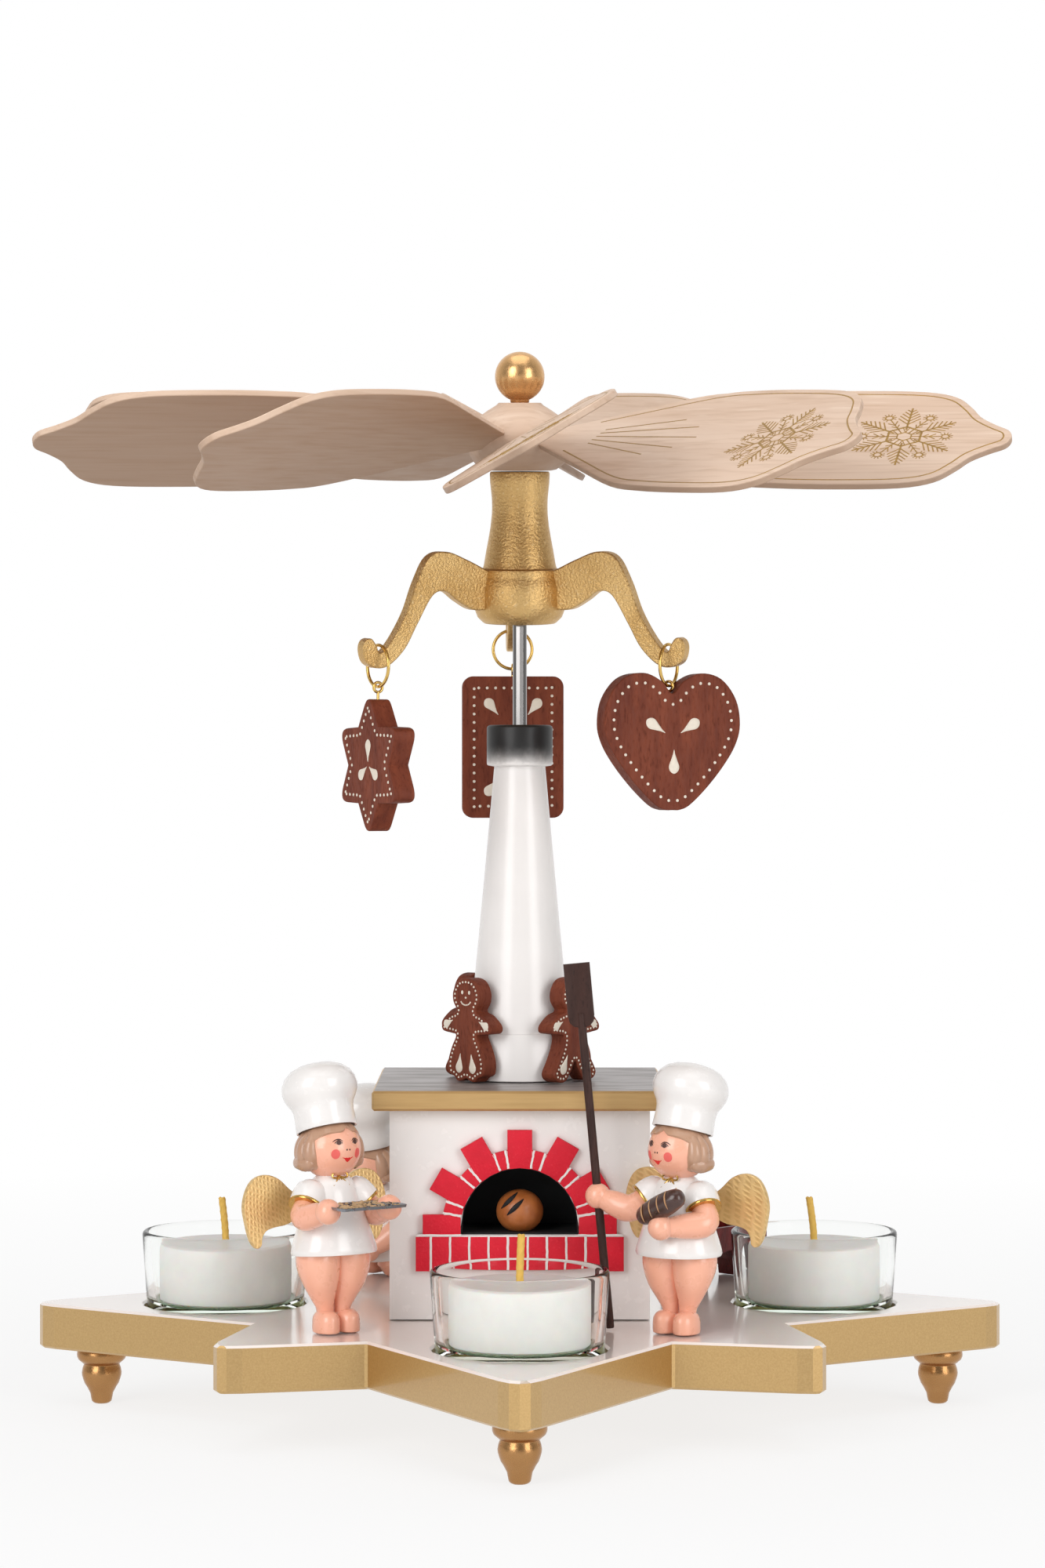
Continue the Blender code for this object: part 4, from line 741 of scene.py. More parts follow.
def arm_points(name):
    """Shoulder, elbow and hand of both arms, in the world."""
    torso = torso_at(name)
    result = []
    for side, (elbow, hand) in zip((1, -1), ARM_SHARES[name]):
        if hand is None:
            end = PEEL_AT @ Vector((0, 0, 0.49 * TALL))
        else:
            end = torso @ body_point(hand)
        result.append((torso @ body_point((0.085, 0, 0.518), side), torso @ body_point(elbow), end))
    return result


def on_head(across, up, lift):
    """A point on the face from its direction: degrees across and up from straight ahead."""
    a, u = math.radians(across), math.radians(up)
    radius = HEAD + lift
    level = radius * math.cos(u)
    return Vector((level * math.sin(a), -level * math.cos(a), radius * math.sin(u)))


def face_line(points, width, lift):
    """A painted line over the face through (across, up) points in degrees, pointed at both ends."""
    rows = [on_head(point.x, point.y, -0.00005) for point in curve_through(points)]
    loops = []
    for index, point in enumerate(rows):
        normal = point.normalized()
        side = normal.cross(direction_at(rows, index, False)).normalized()
        share = math.sin(math.pi * (0.1 + 0.8 * index / (len(rows) - 1)))
        half = side * width / 2 * share
        rise = normal * (lift + 0.00005)
        loops.append([point - half, point - half * 0.8 + rise, point + half * 0.8 + rise, point + half])
    return woven(loops)


def face_patch(outline, lift=SHOW):
    """A painted patch over the face inside an outline of (across, up) points in degrees."""
    rows = curve_through(outline, closed=True)
    middle = sum(rows, Vector((0, 0))) / len(rows)
    loops = [[on_head(p.x, p.y, -0.00006) for p in rows]]
    for ring in range(5):
        share = 0.96 * (1 - ring / 5)
        loops.append([on_head(*(middle + (p - middle) * share), lift) for p in rows])
    return woven(loops + [[on_head(*middle, lift)]])


def oval(x, y, half_x, half_y, count=10):
    return [(x + half_x * c, y + half_y * s) for c, s in ring_of(count)]


EYE = [(-8.5, -2.2), (-5, 1.8), (0, 3.0), (5, 1.8), (8, -1.5), (3.8, -3.6), (-2, -4.0), (-6, -3.2)]
LIPS = [(0, 1.2), (2.6, 3.2), (5.4, 2.4), (8.6, 2.8), (6.2, -1.0), (3.2, -4.2), (0, -6.0), (-3.2, -4.2),
        (-6.2, -1.0), (-8.6, 2.8), (-5.4, 2.4), (-2.6, 3.2)]
BROW = [(-8.5, 14), (-2, 18), (6, 17.2), (12.5, 13.2)]
LASHES = [(-7.5, 10.6), (0, 16.1), (8.8, 10.8)]
MOUTH = [(-12, -16.2), (-7, -18.6), (0, -18.8), (7, -18.6), (12, -16.2)]
FACE_PAINTS = {"eyes": "eye_white", "irises": "eye_brown", "cheeks": "cheek_red", "lips": "lip_red",
               "brows": "eye_brown"}


def faces():
    """Eyes, brows, cheeks and lips, in paint on the head."""
    for name in BAKERS:
        marks = {kind: [] for kind in FACE_PAINTS}
        for side in (1, -1):
            across = side * 19
            eye = [(across + side * x * 0.82, 12 + y) for x, y in EYE]
            marks["eyes"].append(face_patch(eye, SHOW * 0.7))
            marks["irises"].append(face_patch(oval(across, 11.3, 4.3, 3.9), SHOW * 1.5))
            for line, width, lift in ((BROW, 0.00034, SHOW), (LASHES, 0.0003, SHOW * 1.7)):
                marks["brows"].append(face_line([(across + side * x, y) for x, y in line], width, lift))
            marks["irises"].append(face_patch(oval(side * 3.2, -2.2, 1.5, 1.7, 8)))
            marks["cheeks"].append(face_patch(oval(side * 26, -9.5, 8.8, 9.4, 12)))
        marks["lips"].append(face_patch([(x, -20 + y) for x, y in LIPS], SHOW * 1.3))
        marks["lips"].append(face_line(MOUTH, 0.0003, SHOW * 1.6))
        for kind, shapes in marks.items():
            piece(f"{name}_{kind}", gathered(shapes), FACE_PAINTS[kind], "stand", head_at(name))


def fringe():
    """The wavy band of hair under the hat, with its parting over the forehead."""
    loops = []
    for step in range(48):
        angle = -180 + 360 * step / 48
        front = max(0.0, math.cos(math.radians(angle)))
        parting = math.exp(-((angle - 8) / 9) ** 2)
        low = 22 + 9 * front + 10 * parting - 26 * (1 - front) ** 2
        wave = 0.00011 * math.cos(math.radians(angle * 9))
        rows = [on_head(angle, low, -0.0001)]
        rows += [on_head(angle, low + (52 - low) * share, 0.00042 + wave) for share in (0.1, 0.35, 0.65, 1)]
        rows += [on_head(angle, 52, -0.0006), on_head(angle, low + 3, -0.0006)]
        loops.append(rows)
    return woven(loops, closed=True)


def curls():
    """Three upright curls and a rolled one on each side of the head."""
    shapes = []
    for side in (1, -1):
        for back, size, drop in ((-0.16, 0.36, 0.0), (0.08, 0.40, -0.03), (0.34, 0.38, 0.0)):
            x = side * (0.93 - abs(back) * 0.32)
            points = [Vector((x * share, back, up + drop)) * HEAD
                      for share, up in ((0.86, 0.42), (1.02, 0.12), (1.03, -0.2), (0.9, -0.46))]
            radii = [size * HEAD * share for share in (0.52, 0.72, 0.78, 0.56)]
            shapes.append(rounded_bar(points, radii, 16))
        roll = [Vector((side * 0.95, y, -0.42)) * HEAD for y in (-0.12, 0.1, 0.38)]
        shapes.append(rounded_bar(roll, [0.24 * HEAD, 0.29 * HEAD, 0.24 * HEAD], 16))
    return shapes


def hair():
    for name in BAKERS:
        nape = moved(ball(HEAD * 0.98, 40, (0.98, 0.96, 0.98)), at(y=HEAD * 0.11, z=HEAD * 0.05))
        piece(f"{name}_hair", gathered([fringe(), nape] + curls()), "hair_paint", "stand", head_at(name))


# A sleeve and its cuff: radius as a share of the baker's height, reach as one of the sleeve's length
SLEEVE = [(0.0, 0), (0.026, 0.02), (0.046, 0.1), (0.060, 0.26), (0.0665, 0.48), (0.068, 0.74),
          (0.066, 0.92), (0.0645, 0.985), (0.062, 1), (0.05, 0.97)]
CUFF = [(0.060, 0.93), (0.0672, 0.915), (0.0682, 0.93), (0.0676, 0.99), (0.0662, 1.01), (0.060, 1.005)]
SLEEVE_LENGTH = 0.108 * TALL


def sleeve(shoulder, elbow):
    """A short puffed sleeve and the gold cuff on its edge."""
    along = (elbow - shoulder).normalized()
    frame = at(*(shoulder - along * 0.034 * TALL)) @ along.to_track_quat("Z", "Y").to_matrix().to_4x4()
    return [moved(turned([(radius * TALL, reach * SLEEVE_LENGTH) for radius, reach in rows], 40), frame)
            for rows in (SLEEVE, CUFF)]


def neck_bow(torso):
    """The painted gold collar line and the small bow at the throat."""
    ring = [Vector((0.0505 * c, 0.0505 * s * 0.9, 0.582)) * TALL for c, s in ring_of(48)]
    parts = [tube(ring, 0.00042, 10, closed=True)]
    throat = Vector((0, -0.0535 * TALL, 0.573 * TALL))
    for side in (1, -1):
        loop = [(0, 0, 0), (0.9, -0.35, 0.7), (2.0, -0.5, 0.55), (2.2, -0.6, -0.25), (1.2, -0.55, -0.55)]
        path = curve_through([throat + Vector((side * x, y, z)) * 0.001 for x, y, z in loop], 5, closed=True)
        parts.append(tube(path, 0.00026, 8, closed=True))
        for x, z in ((2.3, -2.6), (0.9, -3.0)):
            tail = [(0, 0, 0), (side * x * 0.4, -0.7, z * 0.4), (side * x, -1.1, z)]
            path = curve_through([throat + Vector(point) * 0.001 for point in tail], 5)
            parts.append(tube(path, 0.00024, 8))
    return moved(gathered(parts), torso)


def skin_of(name):
    """Head, neck, legs, shoes, arms and hands of one baker."""
    base = baker_at(name)
    neck = turned(sized([(0, 0.57), (0.046, 0.575), (0.045, 0.6), (0.05, 0.62), (0, 0.63)]), 32)
    shapes = [moved(ball(HEAD, 48), head_at(name)), moved(neck, torso_at(name))]
    legs = KNEEL if name == "back" else LEG
    for side in (1, -1):
        bar = rounded_bar([body_point(row[0], side) for row in legs], [row[1] * TALL for row in legs], 28)
        shapes.append(moved(bar, base))
        if name != "back":
            spot = at(*body_point((0.043, -0.016, 0), side))
            shapes.append(moved(turned(sized(SHOE), 36), base @ spot @ stretched(0.95, 1.33, 1)))
    for shoulder, elbow, hand in arm_points(name):
        bend = elbow.lerp((shoulder + hand) / 2, 0.12)
        points = [shoulder, shoulder.lerp(elbow, 0.5), bend, elbow.lerp(hand, 0.5), hand]
        shapes.append(rounded_bar(points, [size * TALL for size in (0.036, 0.045, 0.05, 0.046, 0.031)], 28))
        shapes.append(moved(ball(0.047 * TALL, 36), at(*hand)))
    return shapes


def bodies():
    for name in BAKERS:
        torso = torso_at(name)
        coat = moved(turned(sized(COAT), 72), torso @ stretched(1, 0.85, 1))
        sleeves, cuffs = zip(*(sleeve(*points[:2]) for points in arm_points(name)))
        piece(f"{name}_skin", gathered(skin_of(name)), "skin_paint", "stand", replaces=f"baker_{name}")
        piece(f"{name}_coat", gathered([coat, *sleeves]), "white_lacquer", "stand")
        piece(f"{name}_trim", gathered([*cuffs, neck_bow(torso)]), "bright_gold", "stand")
        hat = turned([(radius * TALL, (height + 0.07) * TALL) for radius, height in HAT], 72)
        place = head_at(name) @ turn(BAKERS[name]["hat"], "X")
        piece(f"{name}_hat", hat, "white_lacquer", "stand", place, replaces=f"baker_{name}_hat")


def feathers():
    """The embossed gold wings on each back."""
    half_thick = 0.00075
    outline = curve_through(mirrored(sized(FEATHER, FEATHER_SIZE)), closed=True)
    board = plate(outline, -half_thick, half_thick, 0.00018)
    back = 0.128 * 0.85 * TALL + half_thick + 0.0006
    for name in BAKERS:
        place = torso_at(name) @ at(y=back, z=0.318 * TALL) @ turn(90, "X")
        piece(f"{name}_feathers", board, "woven_gold", "stand", place, 20, f"baker_{name}_wings")


def scattered(count, span, sizes, bit, lift):
    """Small bits thrown over the tray; span is their reach in X and Y, bit makes one from its size."""
    shapes = []
    for _ in range(count):
        x, y = random.uniform(-span[0], span[0]), random.uniform(-span[1], span[1])
        size = random.uniform(*sizes)
        shapes.append(moved(bit(size), at(x, y, size * lift) @ turn(random.uniform(0, 180))))
    return gathered(shapes)


def crumb(size):
    return ball(size, 6, (1, random.uniform(0.6, 1), random.uniform(0.5, 0.9)))


def flake(size):
    return ball(size, 6, (1.3, 0.7, 0.5))


# The tray's section: inset and level in millimetres
TRAY_RIM = [(0.9, -0.45), (0.2, -0.3), (0, 0.35), (0.15, 0.45), (0.3, 0.42), (0.75, 0.0), (1.2, -0.05)]


def tray():
    """The tray of crumbs between the left baker's hands."""
    half_x, half_y = 0.0098, 0.0062
    hand = baker_at("tray").inverted() @ arm_points("tray")[0][2]
    place = baker_at("tray") @ at(y=hand.y - half_y * 0.33, z=hand.z + 0.046 * TALL * 0.35)
    outline = rounded_box(half_x, half_y, 0.0013, 6)
    loops = [[(*point, level * 0.001) for point in shrunk(outline, inset * 0.001)]
             for inset, level in TRAY_RIM]
    piece("tray_metal", woven(loops), "tin", "stand", place)
    random.seed(7)
    crumbs = scattered(150, (0.86 * half_x, 0.8 * half_y), (0.0003, 0.0009), crumb, 0.3)
    piece("tray_crumbs", crumbs, "crumbs", "stand", place, 50)
    flakes = scattered(46, (0.85 * half_x, 0.82 * half_y), (0.0004, 0.0008), flake, 0.55)
    piece("tray_flakes", flakes, "tin", "stand", place, 50)


def loaf():
    """The slashed loaf on the right baker's arm."""
    loaf_at = baker_at("peel") @ at(0.03 * TALL, -0.175 * TALL, 0.48 * TALL) @ turn(-28, "Y")
    reach = 0.0145 / 2 - 0.003
    line = [(-reach - 0.0006, 0, 0), (-reach / 2, 0, 0), (reach / 2, 0, 0), (reach + 0.0006, 0, 0)]
    piece("loaf", rounded_bar(line, [0.0026, 0.003, 0.003, 0.0026], 40), "chocolate", "stand", loaf_at)
    cuts = []
    for index in range(4):
        rows = []
        for step in range(9):
            angle = math.radians(-62 + 100 * step / 8)
            x = -0.0042 + 0.0026 * index + 0.0011 * (step / 8 - 0.5)
            rows.append((x, -0.00298 * math.cos(angle) * 0.999, 0.00298 * math.sin(angle)))
        cuts.append(tube(rows, [0.00022 * math.sin(math.pi * (0.1 + 0.8 * s / 8)) for s in range(9)], 8))
    piece("loaf_cuts", gathered(cuts), "pale_crust", "stand", loaf_at @ turn(-25, "X"))


bodies()
hair()
faces()
feathers()
tray()
loaf()


# The base's feet, the tealights, the oven and what stands on it
CANDLE_CIRCLE = 0.0795
GLASS_SEAT = 0.0250
FEET_CIRCLE = 0.113
OVEN_FRONT = -0.0340
ARCH_CENTRE = 0.0518
ARCH = 0.0154
BRICK_REACH = 0.0253
SILL_TOP = 0.0497
SILL_DROP = 0.0094
SILL_HALF = 0.0273
ARCH_FOOT = SILL_TOP - ARCH_CENTRE
BRICK_BACK, BRICK_FACE = -0.0343, -0.0359
BRICK_DEPTH = BRICK_BACK - BRICK_FACE
QUARTERS = {"front": -90, "right": 0, "back": 90, "left": 180}

# Sections in millimetres: radius and height
FOOT = [(0, 0), (1.8, 0), (2.3, 0.25), (2.65, 0.6), (2.8, 1.2), (3.1, 2.8), (4.0, 4.5), (4.6, 5.4),
        (5.0, 6.5), (5.28, 7.5), (5.35, 8.3), (5.15, 9.5), (4.8, 10.4), (4.8, 10.6), (5.5, 11.2),
        (6.3, 11.9), (6.6, 12.6), (6.67, 13.2), (6.55, 14.2), (6.2, 14.9), (0, 14.9)]
WAX = [(0, 2.7), (17.0, 2.7), (17.8, 3.5), (17.8, 17.2), (17.5, 18.0), (16.8, 18.4), (15.6, 18.35),
       (11.8, 18.1), (5, 18.2), (2.4, 18.4), (1.6, 18.8), (0, 18.9)]
WAX_TOP = 0.0185
WICK_LEANS = {"front": (0.0004, 0.0), "right": (-0.0012, 0.0004), "back": (0.0008, -0.0003),
              "left": (-0.0010, 0.0)}


def feet():
    for side, angle in QUARTERS.items():
        piece(f"foot_fine_{side}", turned(sized(FOOT, 0.001), 56), "copper_gold", "stand",
              turn(angle) @ at(FEET_CIRCLE), replaces=f"foot_{side}")


def glass_profile():
    """Outside from the foot up, over the round rim and down the inside to a thick floor."""
    foot, rim, wall, height = 0.0211, 0.0224, 0.0018, 0.0218
    inner = foot - wall
    rows = [(0, 0.0006), (foot * 0.72, 0.0006), (foot * 0.8, 0), (foot - 0.0012, 0), (foot - 0.0004, 0.0003),
            (foot, 0.0011), (foot + 0.0002, 0.004), (foot + 0.0007, 0.012), (rim, height - 0.0012)]
    rows += [(rim - wall / 2 + x, height - 0.0009 + y) for x, y in arc(wall / 2, 0, 180, 8)[1:-1]]
    rows += [(rim - wall, height - 0.0012), (inner + 0.0006, 0.012), (inner, 0.0052),
             (inner - 0.0005, 0.0034), (inner - 0.0018, 0.0025), (0, 0.0024)]
    return rows


def wick(lean_x, lean_y):
    """Three cotton strands twisted round a core, bent to one side."""
    rows = curve_through([(0, 0, WAX_TOP - 0.001), (lean_x * 0.1, 0, WAX_TOP + 0.003),
                          (lean_x * 0.5, lean_y, WAX_TOP + 0.0075),
                          (lean_x, lean_y * 2, WAX_TOP + 0.0118)], 6)
    strands = [tube(rows, 0.00092, 14)]
    for strand in range(3):
        path = []
        for index, point in enumerate(rows):
            twist = math.tau * strand / 3 + index * 0.75
            path.append(point + Vector((math.cos(twist), math.sin(twist), 0)) * 0.00056)
        strands.append(tube(path, 0.00046, 8))
    return gathered(strands)


def tealights():
    """Pressed glasses, each with a bare white candle and a bent wick."""
    for side, angle in QUARTERS.items():
        place = turn(angle) @ at(CANDLE_CIRCLE, z=GLASS_SEAT)
        candle = f"tealight_{side}"
        piece(f"glass_fine_{side}", turned(glass_profile(), 96), "glass", f"holder_{side}", place,
              replaces=f"glass_{side}")
        piece(f"candle_wax_{side}", turned(sized(WAX, 0.001), 80), "wax", candle, place,
              replaces=f"candle_{side}")
        piece(f"candle_wick_{side}", wick(*WICK_LEANS[side]), "wick", candle, at(*place.translation))


def arch_line(radius, low):
    """The arch over its centre from one foot to the other, in X and Z."""
    return [(radius, low)] + arc(radius, 0, 180, 36) + [(-radius, low)]


def outer_bricks():
    """The seven long bricks of the arch."""
    near, half = ARCH * math.cos(0.21), 0.00325
    spread = [(near, -half), (BRICK_REACH, -half), (BRICK_REACH, half), (near, half), (ARCH, 0)]
    level = [(ARCH, ARCH_FOOT), (BRICK_REACH, ARCH_FOOT), (BRICK_REACH, half), (ARCH, half)]
    other_level = [(-x, y) for x, y in reversed(level)]
    outlines = [level] + [spread] * 5 + [other_level]
    return [moved(plate(outline, -BRICK_DEPTH, 0, 0.00022), turn(angle))
            for outline, angle in zip(outlines, (0, 30, 60, 90, 120, 150, 0))]


def inner_bricks():
    """The six short bricks between the long ones."""
    half_in, half_out = 15 - math.degrees(0.213), 15 - math.degrees(0.161)
    shapes = []
    for index in range(6):
        middle = 15 + 30 * index
        corners = arc(0.0203, middle - half_out, middle + half_out, 4)
        corners += arc(ARCH, middle + half_in, middle - half_in, 4)
        shapes.append(plate(corners, -BRICK_DEPTH, 0, 0.0002))
    return shapes


def box_outline(left, right, bottom, top):
    return [(left, bottom), (right, bottom), (right, top), (left, top)]


def smear(start, end):
    """A hand-drawn line of mortar with a wavering width and path."""
    one, two = Vector(start), Vector(end)
    side = Vector((-(two - one).y, (two - one).x)).normalized()
    rows = [one.lerp(two, step / 9) + side * random.uniform(-0.00007, 0.00007) for step in range(10)]
    return line_on(rows, 0.00062 * random.uniform(0.88, 1.15), -0.00004, 0.00016)


def bricks():
    """Each brick on its own, with the painted mortar showing between them."""
    front = at(y=BRICK_FACE, z=ARCH_CENTRE) @ turn(90, "X")
    joint = 0.00035
    half = joint / 2
    top, bottom = ARCH_FOOT - joint, ARCH_FOOT - SILL_DROP
    inner_edges = [-0.0232 + 0.00502 * step + (0.0002 if step > 4 else 0) for step in range(10)]
    edges = [-SILL_HALF, *inner_edges, SILL_HALF]
    sill = [plate(box_outline(one + half, two - half, bottom, top), -BRICK_DEPTH, 0, 0.0002)
            for one, two in zip(edges, edges[1:])]
    piece("bricks", gathered(outer_bricks() + inner_bricks() + sill), "brick_red", "stand", front,
          replaces="brick_arch")

    arch_bed = arch_line(0.0201, ARCH_FOOT) + list(reversed(arch_line(ARCH + 0.0002, ARCH_FOOT)))
    sill_bed = box_outline(-SILL_HALF + 0.0002, SILL_HALF - 0.0002, bottom + 0.0002, ARCH_FOOT)
    beds = [plate(outline, -BRICK_DEPTH, -0.0001, 0.00005) for outline in (arch_bed, sill_bed)]
    random.seed(3)
    away = 15 - math.degrees(0.186)
    for middle in range(15, 180, 30):
        for angle in (middle - away, middle + away):
            beam = turn(angle) @ Vector((1, 0, 0))
            beds.append(smear(beam.xy * (ARCH + 0.0002), beam.xy * 0.0204))
    for x in inner_edges:
        beds.append(smear((x, bottom + 0.0001), (x, top + 0.0002)))
    for side in (1, -1):
        beds.append(smear((side * (SILL_HALF - 0.0004), ARCH_FOOT), (side * 0.0152, ARCH_FOOT)))
    piece("mortar", gathered(beds), "mortar", "stand", front)


def fire_hole():
    """A sooty lining just inside the hole in the oven."""
    wide, narrow = ARCH - 0.0001, ARCH - 0.0004
    mouth, end = OVEN_FRONT + 0.0004, OVEN_FRONT + 0.021
    shell = []
    for reach, y in ((wide, mouth), (wide, end - 0.0001), (narrow, end - 0.0004), (narrow, mouth)):
        shell.append([(x, y, ARCH_CENTRE + z) for x, z in arch_line(reach, ARCH_FOOT + ARCH - reach)])
    piece("fire_hole", woven(shell, closed=True), "soot", "stand", sharp=30)
    back = plate(arch_line(narrow, ARCH_FOOT + 0.0003), -0.0003, 0, 0.00005)
    piece("fire_hole_back", back, "soot", "stand", at(y=end - 0.0004, z=ARCH_CENTRE) @ turn(90, "X"))


def bun():
    """The slashed bun in the fire hole."""
    radius, share = 0.0062, 0.92
    height = radius * share * 0.9
    rows = [(0, -height), (radius * 0.36, -height), (radius * 0.47, -height * 0.985)]
    rows += [(x, y * share) for x, y in arc(radius, -56, 90, 22)[:-1]] + [(0, radius * share)]
    place = at(y=OVEN_FRONT + radius, z=SILL_TOP + 0.0003 + height)
    piece("bun_fine", turned(rows, 64), "baked_bread", "stand", place, replaces="bread_bun")
    slashes = []
    for offset in (-0.0013, 0.0009):
        path = []
        for step in range(13):
            along = -0.0030 + 0.0060 * step / 12
            x, z = -0.0018 + along * 0.72 + offset * 0.7, 0.0022 + along * 0.69 - offset * 0.7
            y = -radius * math.sqrt(max(0.02, 1 - (x / radius) ** 2 - (z / (radius * share)) ** 2))
            path.append((x, y * 0.998, z))
        radii = [0.00066 * math.sin(math.pi * (0.06 + 0.88 * step / 12)) for step in range(13)]
        slashes.append(tube(path, radii, 8))
    piece("bun_slashes", gathered(slashes), "soot", "stand", place)


def chimney():
    """The smooth stack with its step, its round mouth and the sooted top."""
    bottom, top, bore = 0.0878, 0.1831, 0.0030
    low, high = Vector((0.01375, 0.1008)), Vector((0.0069, 0.1719))
    rows = [(bore, bottom), (0.0143, bottom), (0.0145, bottom + 0.0002), (0.0145, 0.1001),
            (0.01435, 0.1004), (0.01385, 0.10055), tuple(low)]
    for step in range(1, 13):
        share = step / 12
        rows.append((low.x + (high.x - low.x) * share ** 0.92, low.y + (high.y - low.y) * share))
    rows += [(0.0084, 0.17215), (0.0088, 0.1724), (0.0089, 0.1728), (0.0089, top - 0.0008),
             (0.0087, top - 0.0003), (0.0082, top), (bore + 0.0003, top), (bore, top - 0.0003),
             (bore, bottom)]
    piece("chimney_fine", turned(rows, 96), "chimney", "stand", replaces="chimney")


def smooth_peel():
    """The peel's round rod and its eased, tapering blade."""
    low, half = 0.0775, 0.0034
    rod = tube([(0, 0, z) for z in (0, 0.0004, 0.02, 0.045, 0.07, low + 0.0035)],
               [0.0009, 0.0011, 0.0011, 0.0011, 0.0011, 0.0010], 20)
    outline = [(half, low + 0.0165), (half, low + 0.003), (half * 0.9, low + 0.0013),
               (half * 0.6, low + 0.0003), (half * 0.3, low)]
    blade = moved(plate(mirrored(outline), -0.0006, 0.0006, 0.00022), turn(90, "X"))
    piece("peel_fine", gathered([rod, blade]), "dark_wood", "stand", PEEL_AT, replaces="bread_peel")


# The gingerbread figures and their drops of icing, in shares of their height
BOY = [(0, 1), (0.12, 0.97), (0.19, 0.87), (0.19, 0.77), (0.13, 0.68), (0.24, 0.64), (0.36, 0.55),
       (0.36, 0.48), (0.25, 0.46), (0.17, 0.44), (0.18, 0.34), (0.25, 0.2), (0.32, 0.08),
       (0.27, 0.01), (0.15, 0), (0.06, 0.1), (0, 0.19)]
GIRL = [(0, 1), (0.12, 0.97), (0.19, 0.87), (0.19, 0.77), (0.14, 0.68), (0.24, 0.64), (0.35, 0.55),
        (0.34, 0.48), (0.22, 0.46), (0.15, 0.44), (0.21, 0.33), (0.26, 0.2), (0.25, 0.08),
        (0.17, 0.04), (0.12, 0), (0.05, 0.01), (0, 0.03)]
HAND_DROP = ((0.185, 0.59), (0.325, 0.53))
BOY_DROP = ((0.118, 0.27), (0.205, 0.08))
GIRL_DROP = ((0.078, 0.275), (0.105, 0.08))
GINGER = {"front_left": (222, GIRL, GIRL_DROP), "front_right": (-40, BOY, BOY_DROP),
          "back_right": (40, GIRL, GIRL_DROP), "back_left": (138, BOY, BOY_DROP)}
GINGER_TALL = 0.0276
GINGER_THICK = 0.0046


def icing(outline, leg_drop, level):
    """Dots along the edge, a smile, eyes and nose, and a drop on each hand and leg."""
    dots = [dot_on(p.x, p.y, 0.00031, level, 0.00016) for p in along_outline(outline, 0.00105, 0.0012)]
    for x, y in arc(1, -152, -28, 8):
        dots.append(dot_on(0.0021 * x, GINGER_TALL * 0.795 + 0.0015 * y, 0.00024, level, 0.00014))
    for side in (1, -1):
        dots.append(dot_on(side * 0.0014, GINGER_TALL * 0.862, 0.00042, level, 0.00016, 1.35, 90))
        for drop, width, height in ((HAND_DROP, 0.0024, 0.0002), (leg_drop, 0.0029, 0.00024)):
            tip, bulb = (Vector((side * x, y)) * GINGER_TALL for x, y in drop)
            dots.append(drop_on(tip, bulb, width, level, height))
    dots.append(dot_on(0, GINGER_TALL * 0.812, 0.0003, level, 0.00014, 1.3))
    return gathered(dots)


def gingerbread():
    """Smooth-edged figures, iced on the side that faces out."""
    half = GINGER_THICK / 2
    for name, (angle, shares, leg_drop) in GINGER.items():
        outline = curve_through(mirrored(sized(shares, GINGER_TALL)), 5, closed=True)
        lowest = min(y for x, y in outline)
        outline = [(x, y - lowest) for x, y in outline]
        place = turn(angle) @ at(0.0145 + 0.0003 + half, z=TOP_SURFACE + GAP) @ turn(90) @ turn(90, "X")
        piece(f"ginger_fine_{name}", plate(outline, -half, half, 0.00035), "brown_stain", "stand", place,
              20, f"gingerbread_{name}")
        piece(f"ginger_icing_{name}", icing(outline, leg_drop, half - 0.00003), "cream_dots", "stand", place)


feet()
tealights()
bricks()
fire_hole()
bun()
chimney()
smooth_peel()
gingerbread()


# The wheel and what hangs from it, tipped forward about the spindle's point
LEAN = at(z=0.2431) @ turn(5.5, "X") @ at(z=-0.2431)
WING_HALF = 0.0242
WING_LENGTH = 0.1229
WING_THICK = 0.0018
WING_ANGLES = [-88.5 + 36 * index for index in range(10)]
WING = [(0, 0.1), (0.01, 0.15), (0.05, 0.22), (0.24, 0.58), (0.42, 0.91), (0.53, 0.985),
        (0.66, 1), (0.79, 0.97), (0.86, 0.85), (0.9, 0.62), (0.925, 0.42), (0.96, 0.26),
        (0.99, 0.15), (1, 0.05)]
ARM_ANGLES = {"back": 92.6, "left": 212.6, "right": 332.6}
ARM = [(-0.1, 0.79), (0.059, 0.815), (0.226, 0.918), (0.388, 1), (0.515, 0.957), (0.607, 0.74),
       (0.68, 0.487), (0.769, 0.28), (0.845, 0.155), (0.883, 0.14), (0.905, 0.205), (0.94, 0.262),
       (0.985, 0.24), (1, 0.16), (0.974, 0.05), (0.896, 0), (0.805, 0.026), (0.694, 0.165),
       (0.605, 0.372), (0.494, 0.615), (0.402, 0.651), (0.313, 0.569), (0.205, 0.487),
       (0.1, 0.475), (-0.1, 0.47)]
ARM_ROOT, ARM_REACH, ARM_RISE, ARM_THICK = 0.0075, 0.0425, 0.0304, 0.0035

# The printed rays of a wing: slope in degrees, near end and far end
RAYS = ((-11, 0.018, 0.046), (-5.5, 0.0175, 0.054), (0, 0.0175, 0.058), (5.5, 0.0175, 0.054),
        (11, 0.018, 0.046))

# The snowflake's twigs: where each leaves its arm, and its length
LONG_TWIGS = ((0.0062, 0.0042), (0.0078, 0.0038), (0.0094, 0.0032), (0.0110, 0.0024), (0.0126, 0.0016))
SHORT_TWIGS = ((0.0050, 0.0017), (0.0066, 0.0021))
THIN = 0.00042

